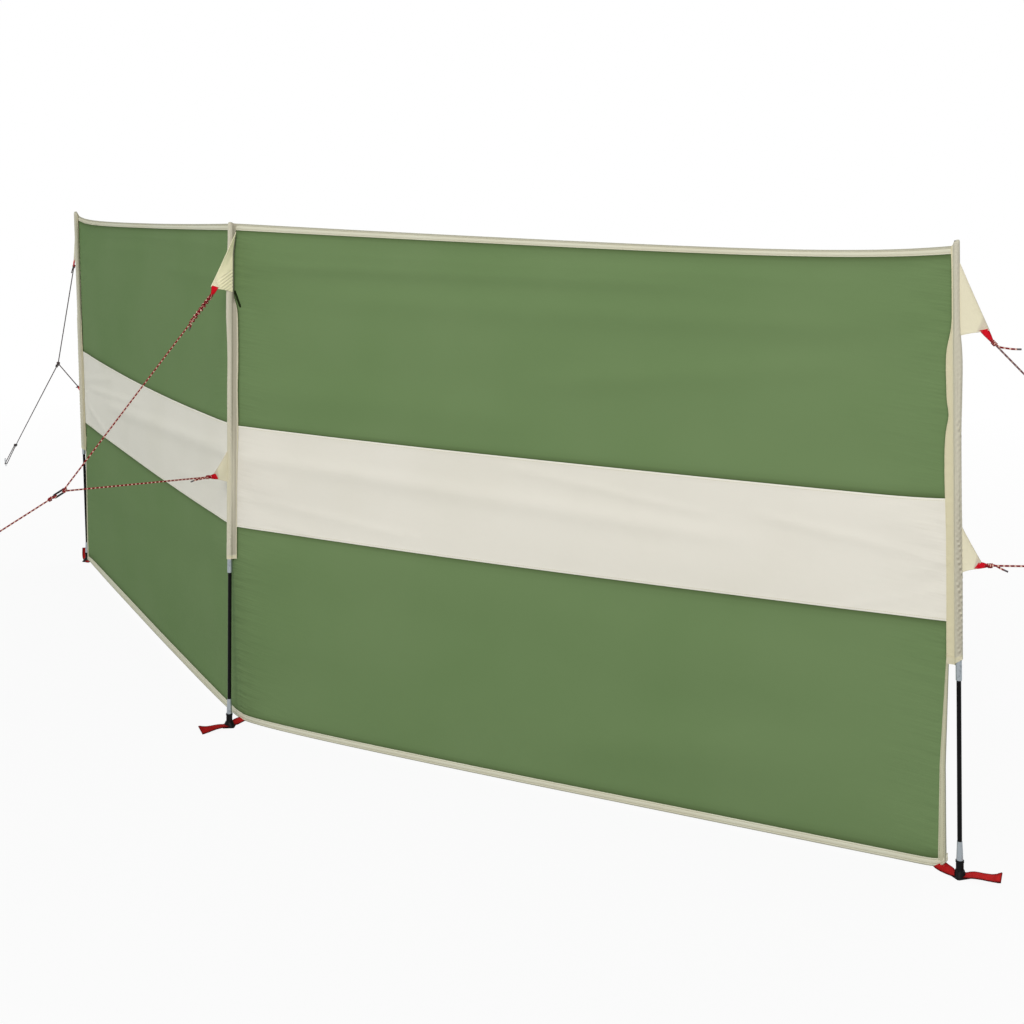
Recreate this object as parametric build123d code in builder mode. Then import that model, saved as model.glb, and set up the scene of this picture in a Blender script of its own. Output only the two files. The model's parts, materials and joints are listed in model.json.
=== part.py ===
from build123d import *
import os
from math import acos, atan2, cos, degrees, radians, sin, tan

# Two-bay beach windbreak: three sectional poles in cloth sleeves, a striped cloth
# between them, webbing straps under the feet and a bridled guy on each pole.
# Millimetres, +Z up. The origin is under the middle foot, +X points along the row
# towards the right bay and +Y points to the sheltered side.

# Layout on the ground
bay_width = 1830.0
bay_turn = 18.2
left_lean = 2.2

# Clearances
seat_gap = 0.3
slip_gap = 0.15
overrun = 2.0

# Pole sections and their metal ferrules
pole_height = 1290.0
section_count = 3
rod_diameter = 9.5
rod_bore = 5.0
rod_end_gap = 2.0
ferrule_diameter = 12.5
ferrule_length = 75.0
tip_show = 38.0
tip_foot_diameter = 14.0
tip_head_diameter = 10.8

# Foot on the pole's tip
foot_length = 46.0
foot_width = 42.0
foot_point_radius = 5.0
bridge_length = 23.0
bridge_width = 35.0
foot_shoulder_length = 19.0
foot_shoulder_width = 20.0
foot_shoulder_height = 13.0
foot_height = 33.0
stem_diameter = 15.5
stem_collar_diameter = 17.0
stem_collar_height = 4.0
stem_flare = 2.0
sole_thickness = 3.0
socket_web = 1.6

# Webbing: foot straps and guy loops
strap_width = 25.0
strap_thickness = 1.4
strap_gap = 0.3
strap_tail = 88.0
strap_tail_lift = 7.0
strap_dip = 60.0
strap_dip_height = 1.8
strap_lap = 14.0
strap_bend = 8.0
loop_width = 18.0
loop_thickness = 2.6
loop_length = 22.0
loop_nose_radius = 3.0

# Cloth, measured down from the pole's top
cloth_thickness = 1.6
hem_thickness = 3.0
cloth_seat = 0.6
hem_corner_drop = 8.0
top_hem_width = 18.0
upper_cloth_depth = 494.0
band_depth = 255.0
top_sag = 16.0
seam_sag = 6.0
bottom_hem_width = 16.0
hem_rise = 9.0
hem_sag = 3.0
hem_setback = 36.0
binding_width = 14.0
binding_setback = 22.0
edge_lap = 12.0

# Pole sleeve sewn on the outer face of the cloth
sleeve_length = 859.0
sleeve_diameter = 15.4
sleeve_thickness = 1.2
end_flange = 26.0
middle_flange = 15.0

# Guy gussets on the sleeve: top of the root below the pole's top, root length,
# reach of the cut tip and its height above the root's lower end. Those of the
# middle pole are drawn up by its steeper pull.
gusset_thickness = 1.2
upper_gusset_drop = 44.0
upper_gusset_root = 144.0
upper_gusset_reach = 50.0
upper_gusset_lift = 4.0
lower_gusset_drop = 582.0
lower_gusset_root = 89.0
lower_gusset_reach = 33.0
lower_gusset_lift = 13.0
middle_upper_gusset_drop = 14.0
middle_upper_gusset_root = 163.0
middle_upper_gusset_reach = 50.0
middle_upper_gusset_lift = 20.0
middle_lower_gusset_drop = 577.0
middle_lower_gusset_root = 81.0
middle_lower_gusset_reach = 45.0
middle_lower_gusset_lift = 17.0

# Guy lines, link, slider and peg
cord_diameter = 3.5
knot_diameter = 6.4
knot_length = 9.0
link_reach = 480.0
link_drop = 618.0
link_length = 34.0
link_width = 11.0
link_thickness = 4.0
link_slot_length = 22.0
link_slot_width = 4.2
guy_reach = 2000.0
guy_ring_height = 12.0
slider_distance = 360.0
slider_length = 18.0
slider_width = 16.0
slider_height = 8.0
slider_edge = 1.5
peg_diameter = 6.0
peg_rise = 18.0
peg_hook_radius = 9.0
peg_hook_tip = 8.0

# Worked out from the sizes above
strap_slot_height = strap_thickness + 2 * strap_gap
strap_level = sole_thickness + strap_slot_height / 2
socket_floor = sole_thickness + strap_slot_height + socket_web
pole_bottom = socket_floor + seat_gap
pole_top = pole_height - sleeve_thickness - seat_gap
section_length = (pole_top - pole_bottom) / section_count
ferrule_bore = rod_diameter + 2 * slip_gap
sleeve_bottom = pole_height - sleeve_length
sleeve_radius = sleeve_diameter / 2
cloth_offset = sleeve_radius + cloth_seat
cloth_top = pole_height - hem_corner_drop
high_seam = cloth_top - top_hem_width - upper_cloth_depth
low_seam = high_seam - band_depth
hem_top = hem_rise + bottom_hem_width
cord_radius = cord_diameter / 2
link_nose = link_width / 2
ring_radius = peg_diameter / 2 + slip_gap + cord_radius

# Directions: along each bay from the middle pole, and to the sheltered side
up = Vector(0, 0, 1)
right_way = Vector(cos(radians(bay_turn)), sin(radians(bay_turn)), 0)
left_way = Vector(-right_way.X, right_way.Y, 0)
right_inward = Vector(-right_way.Y, right_way.X, 0)
left_inward = Vector(right_way.Y, right_way.X, 0)
left_axis = up * cos(radians(left_lean)) - left_inward * sin(radians(left_lean))

# A pole's frame has X along its guy, away from the cloth, and Z up the pole
pole_frames = {
    "left": Plane(left_way * bay_width, x_dir=left_way, z_dir=left_axis),
    "middle": Plane((0, 0, 0), x_dir=(0, -1, 0), z_dir=up),
    "right": Plane(right_way * bay_width, x_dir=right_way, z_dir=up),
}

# The bays that leave each pole, as a direction and the way to the sheltered side
pole_bays = {
    "left": [(left_way * -1, left_inward)],
    "middle": [(left_way, left_inward), (right_way, right_inward)],
    "right": [(right_way * -1, right_inward)],
}
bays = {
    "left": (left_way, left_inward, tan(radians(left_lean))),
    "right": (right_way, right_inward, 0),
}

# The upper and the lower gusset of each pole: drop, root, reach and lift
end_gussets = [
    (upper_gusset_drop, upper_gusset_root, upper_gusset_reach, upper_gusset_lift),
    (lower_gusset_drop, lower_gusset_root, lower_gusset_reach, lower_gusset_lift),
]
middle_gussets = [
    (
        middle_upper_gusset_drop,
        middle_upper_gusset_root,
        middle_upper_gusset_reach,
        middle_upper_gusset_lift,
    ),
    (
        middle_lower_gusset_drop,
        middle_lower_gusset_root,
        middle_lower_gusset_reach,
        middle_lower_gusset_lift,
    ),
]
pole_gussets = {"left": end_gussets, "middle": middle_gussets, "right": end_gussets}


def side_plane(frame):
    """Plane of a pole and its guy: sketch X runs outwards, sketch Y up the pole."""
    return Plane(frame.origin, x_dir=frame.x_dir, z_dir=frame.y_dir * -1)


def spot(frame, out, rise):
    """World point that lies out from a pole along its guy, at a height up the pole."""
    return frame.from_local_coords(Vector(out, 0, rise))


def towards(start, end):
    """Unit vector from one point to another."""
    return (end - start).normalized()


def across_plane(start, way, frame):
    """Plane square to a line, with its X across the pole's guy plane."""
    return Plane(start, x_dir=frame.y_dir, z_dir=way)


def guy_points(frame):
    """The link's centre, the ring's centre on the peg, and the unit way between them."""
    link = spot(frame, link_reach, pole_height - link_drop)
    ring = spot(frame, guy_reach, guy_ring_height)
    return link, ring, towards(link, ring)


def gusset_tip(frame, gusset):
    """Centre of a gusset's cut tip and the unit way of the bridle leg that leaves it."""
    drop, root, reach, lift = gusset
    tip = spot(frame, reach, pole_height - drop - root + lift)
    link, _, guy_way = guy_points(frame)
    link_head = link - guy_way * (link_length / 2 - link_nose)
    return tip, link_head, towards(tip, link_head)


def pole_rods(frame):
    """Black tubes of a pole, end to end inside the ferrules."""
    with BuildPart() as rods:
        for section in range(section_count):
            start = pole_bottom + section * section_length
            with BuildSketch(frame.offset(start)):
                Circle(rod_diameter / 2)
                Circle(rod_bore / 2, mode=Mode.SUBTRACT)
            last = section == section_count - 1
            extrude(amount=section_length if last else section_length - rod_end_gap)
    return rods


def pole_ferrules(frame):
    """Tapered metal tip in the foot's socket and the ferrules over the joints of the tubes."""
    tip_seat = foot_height + seat_gap
    with BuildPart() as ferrules:
        with BuildSketch(frame.offset(pole_bottom)):
            Circle(ferrule_diameter / 2)
        extrude(amount=tip_seat - pole_bottom)
        with BuildSketch(frame.offset(tip_seat)):
            Circle(tip_foot_diameter / 2)
        with BuildSketch(frame.offset(foot_height + tip_show)):
            Circle(tip_head_diameter / 2)
        loft()
        for joint in range(1, section_count):
            centre = pole_bottom + joint * section_length - rod_end_gap / 2
            with BuildSketch(frame.offset(centre - ferrule_length / 2)):
                Circle(ferrule_diameter / 2)
            extrude(amount=ferrule_length)
        with BuildSketch(frame.offset(pole_bottom)):
            Circle(ferrule_bore / 2)
        extrude(amount=pole_top, mode=Mode.SUBTRACT)
    return ferrules


def foot(frame, lean):
    """Moulded foot: diamond sole, a bridge over the strap, and a stem with a socket."""
    sole_drop = overrun + foot_width * tan(radians(lean))
    bore = ferrule_diameter + 2 * slip_gap
    pole_line = Axis(frame.origin, frame.z_dir)
    with BuildPart() as shoe:
        with BuildSketch(frame.offset(-sole_drop)) as sole:
            with BuildLine():
                Polyline(
                    (foot_length / 2, 0),
                    (0, foot_width / 2),
                    (-foot_length / 2, 0),
                    (0, -foot_width / 2),
                    close=True,
                )
            make_face()
            fillet(sole.vertices(), foot_point_radius)
        extrude(amount=sole_drop + sole_thickness)
        with BuildSketch(frame.offset(sole_thickness)):
            Ellipse(bridge_length / 2, bridge_width / 2)
        with BuildSketch(frame.offset(foot_shoulder_height)):
            Ellipse(foot_shoulder_length / 2, foot_shoulder_width / 2)
        loft()
        with BuildSketch(frame.offset(foot_shoulder_height)):
            Circle(stem_diameter / 2)
        extrude(amount=foot_height - foot_shoulder_height)
        fillet(shoe.edges().filter_by(GeomType.CIRCLE).sort_by(pole_line)[-2], stem_flare)
        with BuildSketch(frame.offset(foot_height - stem_collar_height)):
            Circle(stem_collar_diameter / 2)
        extrude(amount=stem_collar_height)
        with BuildSketch(frame.offset(socket_floor)):
            Circle(bore / 2)
        extrude(amount=foot_height, mode=Mode.SUBTRACT)
        with BuildSketch(Plane(frame.origin, x_dir=frame.y_dir, z_dir=frame.x_dir)):
            with Locations((0, strap_level)):
                Rectangle(strap_width + 2 * strap_gap, strap_slot_height)
        extrude(amount=foot_length, both=True, mode=Mode.SUBTRACT)
        split(bisect_by=Plane.XY, keep=Keep.TOP)
    return shoe


def foot_strap(frame):
    """Webbing from under the hem's corner, through the foot's slot, to a free tail."""
    hem_level = hem_rise - cloth_seat - strap_thickness / 2
    with BuildPart() as strap:
        with BuildLine(side_plane(frame)) as run:
            FilletPolyline(
                (strap_tail, strap_tail_lift),
                (strap_dip, strap_dip_height),
                (foot_length / 2 + strap_bend, strap_level),
                (-foot_length / 2 - strap_gap, strap_level),
                (-hem_setback, hem_level),
                (-hem_setback - strap_lap, hem_level),
                radius=strap_bend,
            )
        path = run.wires()[0]
        with BuildSketch(across_plane(path @ 0, path % 0, frame)):
            Rectangle(strap_width, strap_thickness)
        sweep(path=path)
    return strap


def sleeve(frame, pole):
    """Cloth sleeve closed at its top, with flanges that lie on the cloth."""
    reach = middle_flange if pole == "middle" else end_flange
    bore = sleeve_radius - sleeve_thickness
    with BuildPart() as pocket:
        with BuildSketch(frame.offset(sleeve_bottom)):
            Circle(sleeve_radius)
            for way, inward in pole_bays[pole]:
                back = frame.to_local_coords(frame.origin + inward)
                along = frame.to_local_coords(frame.origin + way)
                near = Vector(back.X, back.Y) * bore
                far = Vector(back.X, back.Y) * sleeve_radius
                step = Vector(along.X, along.Y) * reach
                with BuildLine():
                    Polyline(near, near + step, far + step, far, close=True)
                make_face()
        extrude(amount=sleeve_length)
        with BuildSketch(frame.offset(sleeve_bottom)):
            Circle(bore)
        extrude(amount=sleeve_length - sleeve_thickness, mode=Mode.SUBTRACT)
    return pocket


def sleeve_gussets(frame, gussets):
    """Two sewn triangles on the sleeve, each cut square across at its tip."""
    face = side_plane(frame)
    root_line = sleeve_radius + seat_gap
    with BuildPart() as panels:
        for gusset in gussets:
            drop, root, _, _ = gusset
            tip, _, way = gusset_tip(frame, gusset)
            edge = way.cross(frame.y_dir) * (loop_width / 2)
            high = face.to_local_coords(tip + edge)
            low = face.to_local_coords(tip - edge)
            root_top = pole_height - drop
            with BuildSketch(face):
                with BuildLine():
                    Polyline(
                        (root_line, root_top),
                        (high.X, high.Y),
                        (low.X, low.Y),
                        (root_line, root_top - root),
                        close=True,
                    )
                make_face()
            extrude(amount=gusset_thickness / 2, both=True)
    return panels


def guy_loops(frame, gussets):
    """Folded webbing from each gusset's cut tip, drawn in to a nose for the cord."""
    face = side_plane(frame)
    with BuildPart() as loops:
        for gusset in gussets:
            tip, _, way = gusset_tip(frame, gusset)
            edge = way.cross(frame.y_dir) * (loop_width / 2)
            start = face.to_local_coords(tip + way * seat_gap - edge)
            end = face.to_local_coords(tip + way * seat_gap + edge)
            nose = face.to_local_coords(tip + way * loop_length)
            with BuildSketch(face):
                with BuildLine():
                    Line((start.X, start.Y), (end.X, end.Y))
                    CenterArc((nose.X, nose.Y), loop_nose_radius, 0, 360)
                make_hull()
            extrude(amount=loop_thickness / 2, both=True)
    return loops


def ring_tangents(frame):
    """Guy run round the peg, in the plane square to it, with X down the guy.

    Gives the plane and four points: the line's start at the link, where it meets the
    ring, where it leaves the ring, and where the doubled end comes to the slider.
    """
    link, ring, way = guy_points(frame)
    peg_way = way.cross(frame.y_dir)
    flat = Plane(ring, x_dir=way, z_dir=peg_way)
    start = Vector(-((ring - link).length - link_length / 2 - seat_gap), 0)
    back = Vector(-slider_distance - slider_length / 2 - knot_length, ring_radius)
    meets = []
    for point, turn in ((start, 1), (back, -1)):
        bearing = atan2(point.Y, point.X) + turn * acos(ring_radius / point.length)
        meets.append(Vector(cos(bearing), sin(bearing)) * ring_radius)
    return flat, start, meets[0], meets[1], back


def guy(frame, gussets):
    """Two bridle legs, and the guy line from the link round the peg to the slider."""
    flat, start, meets, leaves, back = ring_tangents(frame)
    with BuildPart() as lines:
        for gusset in gussets:
            tip, link_head, way = gusset_tip(frame, gusset)
            first = tip + way * (loop_length + loop_nose_radius + seat_gap)
            length = (link_head - first).length - link_nose - seat_gap
            for diameter, run in ((knot_diameter, knot_length), (cord_diameter, length)):
                with BuildSketch(across_plane(first, way, frame)):
                    Circle(diameter / 2)
                extrude(amount=run)
        runs = []
        for near, far in ((start, meets), (back, leaves)):
            first = flat.from_local_coords(near)
            last = flat.from_local_coords(far)
            runs.append((first, towards(first, last), (last - first).length))
        for first, way, length in runs:
            with BuildSketch(across_plane(first, way, frame)):
                Circle(cord_radius)
            extrude(amount=length)
        first, way, length = runs[0]
        with BuildSketch(across_plane(first + way * length, way, frame)):
            Circle(cord_radius)
        bend = degrees(atan2(leaves.Y, leaves.X) - atan2(meets.Y, meets.X))
        revolve(axis=Axis(flat.origin, flat.z_dir), revolution_arc=bend)
        first, way, _ = runs[1]
        with BuildSketch(across_plane(first, way, frame)):
            Circle(knot_diameter / 2)
        extrude(amount=knot_length - seat_gap)
    return lines


def guy_link(frame):
    """Flat slotted link that joins the bridle to the guy line."""
    link, _, way = guy_points(frame)
    with BuildPart() as plate:
        with BuildSketch(Plane(link, x_dir=way, z_dir=frame.y_dir)):
            SlotOverall(link_length, link_width)
            SlotOverall(link_slot_length, link_slot_width, mode=Mode.SUBTRACT)
        extrude(amount=link_thickness / 2, both=True)
    return plate


def guy_slider(frame):
    """Rounded slider with a bore for the line and one for its doubled end."""
    flat, start, meets, leaves, back = ring_tangents(frame)
    body_plane = Plane(flat.from_local_coords((-slider_distance, 0)), x_dir=frame.y_dir, z_dir=flat.x_dir)
    with BuildPart() as slider:
        with BuildSketch(body_plane):
            SlotOverall(slider_width, slider_height)
        extrude(amount=slider_length / 2, both=True)
        ends = slider.faces().sort_by(Axis(flat.origin, flat.x_dir))
        fillet(ends[0].edges() + ends[-1].edges(), slider_edge)
        for near, far in ((start, meets), (back, leaves)):
            first = flat.from_local_coords(near)
            last = flat.from_local_coords(far)
            with BuildSketch(across_plane(first, towards(first, last), frame)):
                Circle(cord_radius + slip_gap)
            extrude(amount=(last - first).length, mode=Mode.SUBTRACT)
    return slider


def peg(frame):
    """Hooked wire peg, square to its guy and cut off level with the ground."""
    _, ring, way = guy_points(frame)
    peg_way = way.cross(frame.y_dir)
    below = (guy_ring_height + peg_diameter) / peg_way.Z + overrun
    hook = Plane(ring, x_dir=way, z_dir=way.cross(peg_way))
    with BuildPart() as pin:
        with BuildLine(hook) as run:
            Line((0, -below), (0, peg_rise))
            CenterArc((peg_hook_radius, peg_rise), peg_hook_radius, 180, -180)
            Line((2 * peg_hook_radius, peg_rise), (2 * peg_hook_radius, peg_rise - peg_hook_tip))
        path = run.wires()[0]
        with BuildSketch(Plane(path @ 0, x_dir=frame.y_dir, z_dir=path % 0)):
            Circle(peg_diameter / 2)
        sweep(path=path)
        split(bisect_by=Plane.XY, keep=Keep.TOP)
    return pin


def sheet_spans(thickness, lean):
    """Upper and lower stretch of a bay's cloth, as outlines of its two upright ends.

    Each stretch gives the section at the fold behind the middle pole and the section
    at the end pole, as distances to the sheltered side and heights.
    """
    fold_share = 1 / cos(radians(bay_turn))
    end_centre = -hem_thickness / 2
    upper = (sleeve_bottom, pole_height, cloth_offset, cloth_offset, cloth_offset, cloth_offset)
    lower = (0, sleeve_bottom, hem_setback, cloth_offset, end_centre, cloth_offset)
    spans = []
    for low, high, fold_low, fold_high, end_low, end_high in (upper, lower):
        fold = [
            (fold_low * fold_share, low),
            ((fold_low + thickness) * fold_share, low),
            ((fold_high + thickness) * fold_share, high),
            (fold_high * fold_share, high),
        ]
        end = [
            (end_low - low * lean, low),
            (end_low + thickness - low * lean, low),
            (end_high + thickness - high * lean, high),
            (end_high - high * lean, high),
        ]
        spans.append((fold, end))
    return spans


def cloth_strip(bay, thickness, low, high, corners=None):
    """One sewn strip of a bay's ruled cloth, between two sagging edges.

    Each edge is a height at the poles and a sag. The corners, where given, are an
    outline in the bay's plane that trims the strip's ends.
    """
    way, inward, lean = bays[bay]
    upright = Plane((0, 0, 0), x_dir=way, z_dir=way.cross(up))
    end_plane = Plane(way * (bay_width - edge_lap), x_dir=inward, z_dir=inward.cross(up))
    with BuildPart() as strip:
        for fold, end in sheet_spans(thickness, lean):
            for plane, outline in ((Plane.YZ, fold), (end_plane, end)):
                with BuildSketch(plane):
                    with BuildLine():
                        Polyline(*outline, close=True)
                    make_face()
            loft(ruled=True)
        with BuildSketch(upright):
            with BuildLine():
                edges = []
                for height, sag in (low, high):
                    middle = (bay_width / 2, height - sag)
                    edges.append(ThreePointArc((0, height), middle, (bay_width, height)))
                Line(edges[0] @ 0, edges[1] @ 0)
                Line(edges[0] @ 1, edges[1] @ 1)
            make_face()
        extrude(amount=bay_width, both=True, mode=Mode.INTERSECT)
        if corners:
            with BuildSketch(upright):
                with BuildLine():
                    Polyline(*corners, close=True)
                make_face()
            extrude(amount=bay_width, both=True, mode=Mode.INTERSECT)
    return strip


def save(piece, name):
    """Label a finished piece and write it."""
    piece.part.label = name
    export_step(piece.part, f"parts/{name}.step")


# Sewn edges of the cloth, each a height at the poles and its sag between them
top_edge = (cloth_top, top_sag)
top_hem_edge = (cloth_top - top_hem_width, top_sag)
high_edge = (high_seam, seam_sag)
low_edge = (low_seam, seam_sag)
bottom_hem_edge = (hem_top, hem_sag)
bottom_edge = (hem_rise, hem_sag)

# Free end of the cloth below the sleeve: its outer edge and the inner edge of its binding
outer_foot = (bay_width - hem_setback, 0)
outer_head = (bay_width - binding_setback, sleeve_bottom)
inner_foot = (bay_width - hem_setback - binding_width, 0)
inner_head = (bay_width - binding_setback - binding_width, sleeve_bottom)
lower_corners = [
    (0, 0),
    inner_foot,
    inner_head,
    (bay_width, sleeve_bottom),
    (bay_width, pole_height),
    (0, pole_height),
]
hem_corners = [(0, 0), outer_foot, outer_head, (0, sleeve_bottom)]
binding_corners = [inner_foot, outer_foot, outer_head, inner_head]

os.makedirs("parts", exist_ok=True)

for pole, frame in pole_frames.items():
    save(pole_rods(frame), f"{pole}_pole_rods")
    save(pole_ferrules(frame), f"{pole}_pole_ferrules")
    save(foot(frame, left_lean if pole == "left" else 0), f"{pole}_foot")
    save(foot_strap(frame), f"{pole}_foot_strap")
    save(sleeve(frame, pole), f"{pole}_sleeve")
    save(sleeve_gussets(frame, pole_gussets[pole]), f"{pole}_gussets")
    save(guy_loops(frame, pole_gussets[pole]), f"{pole}_guy_loops")
    save(guy(frame, pole_gussets[pole]), f"{pole}_guy")
    save(guy_link(frame), f"{pole}_guy_link")
    save(guy_slider(frame), f"{pole}_guy_slider")
    save(peg(frame), f"{pole}_peg")

for bay in bays:
    save(cloth_strip(bay, hem_thickness, top_hem_edge, top_edge), f"{bay}_top_hem")
    save(cloth_strip(bay, cloth_thickness, high_edge, top_hem_edge), f"{bay}_upper_cloth")
    save(cloth_strip(bay, cloth_thickness, low_edge, high_edge, lower_corners), f"{bay}_band")
    save(cloth_strip(bay, cloth_thickness, bottom_hem_edge, low_edge, lower_corners), f"{bay}_lower_cloth")
    save(cloth_strip(bay, hem_thickness, bottom_edge, bottom_hem_edge, hem_corners), f"{bay}_bottom_hem")
    save(cloth_strip(bay, hem_thickness, bottom_hem_edge, top_edge, binding_corners), f"{bay}_end_binding")
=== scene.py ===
import json
import logging
import math
from collections.abc import Mapping, Sequence
from dataclasses import dataclass, field, replace
from enum import Enum

import bmesh
import bpy
import numpy as np
from bpy.types import Material, Node, NodeSocket, NodeTree, Object
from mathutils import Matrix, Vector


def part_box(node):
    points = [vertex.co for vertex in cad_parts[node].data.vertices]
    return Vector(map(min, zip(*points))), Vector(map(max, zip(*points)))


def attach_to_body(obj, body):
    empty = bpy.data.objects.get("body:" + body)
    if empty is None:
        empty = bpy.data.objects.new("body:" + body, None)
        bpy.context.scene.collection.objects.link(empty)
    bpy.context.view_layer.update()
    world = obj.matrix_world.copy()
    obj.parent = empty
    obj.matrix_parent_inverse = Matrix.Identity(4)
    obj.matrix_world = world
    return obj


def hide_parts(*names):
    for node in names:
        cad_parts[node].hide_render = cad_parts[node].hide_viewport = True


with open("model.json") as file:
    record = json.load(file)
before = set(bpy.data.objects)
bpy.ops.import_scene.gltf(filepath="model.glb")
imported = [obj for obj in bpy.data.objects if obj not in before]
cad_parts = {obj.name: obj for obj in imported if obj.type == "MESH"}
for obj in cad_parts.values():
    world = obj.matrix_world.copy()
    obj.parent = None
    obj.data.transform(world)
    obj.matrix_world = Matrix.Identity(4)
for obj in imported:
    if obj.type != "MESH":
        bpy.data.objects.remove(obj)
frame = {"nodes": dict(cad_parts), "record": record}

# Looks of a two-bay beach windbreak: sewn cloth, hems, pole sleeves, webbing and braided guys.
# Metres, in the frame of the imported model: origin under the middle foot, +Y to the sheltered side.

log = logging.getLogger("windbreak")
Colour = tuple[float, float, float]
Array = np.ndarray
Sockets = Mapping[str, NodeSocket]
Wardrobe = dict[str, Material]
UP = np.array((0.0, 0.0, 1.0))
BODY = "root"
SMOOTH_ANGLE = math.radians(50)
UV_NAME = "cloth_uv"
# Per-vertex tint that pulls a finish toward its tinted colour. It carries painted shade and painted
# highlights as well as real marks such as patches and sealed ends.
TINT_NAME = "tint"


class Pole(Enum):
    """The three poles, named as in the model's nodes."""

    LEFT = "left"
    MIDDLE = "middle"
    RIGHT = "right"


class Bay(Enum):
    """The two bays of cloth, each between the middle pole and an end pole."""

    LEFT = "left"
    RIGHT = "right"


class Corner(Enum):
    """The two guy gussets of a pole sleeve."""

    UPPER = "upper"
    LOWER = "lower"


def unit(vector: Array) -> Array:
    """Vector of length one along the given one."""
    return vector / np.linalg.norm(vector)


def linear(colour: Colour) -> tuple[float, float, float, float]:
    """Scene-linear RGBA of an sRGB colour given in shares of one."""
    parts = [c / 12.92 if c <= 0.04045 else ((c + 0.055) / 1.055) ** 2.4 for c in colour]
    return (parts[0], parts[1], parts[2], 1.0)


def bell(distance: Array, width: float) -> Array:
    """Smooth bump of height one at zero distance."""
    return np.exp(-((distance / width) ** 2))


def unit_rows(vectors: Array) -> Array:
    """Vectors of length one along the rows of an array."""
    return vectors / np.linalg.norm(vectors, axis=1)[:, None]


def run_along(points: Array) -> Array:
    """Distance of each point of a line from its start, along the line."""
    return np.concatenate([[0], np.cumsum(np.linalg.norm(np.diff(points, axis=0), axis=1))])


def spread_uv(first: Array, second: Array) -> Array:
    """UV of a grid from two arrays that spread to one shape."""
    return np.stack(np.broadcast_arrays(first, second), axis=-1)


def node_ends(node: str, rim: float = 0.002) -> tuple[Array, Array]:
    """Centres of the lowest and the highest rim of a slim upright node.

    Args:
        node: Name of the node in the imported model.
        rim: Depth of the rim that is averaged.

    Returns:
        The lower centre and the upper centre.
    """
    points = np.array([v.co for v in frame["nodes"][node].data.vertices])
    lift = points[:, 2]
    return points[lift < lift.min() + rim].mean(0), points[lift > lift.max() - rim].mean(0)


def node_centre(node: str) -> Array:
    """Centre of a node's box."""
    low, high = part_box(node)
    return np.array((low + high) / 2)


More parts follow.
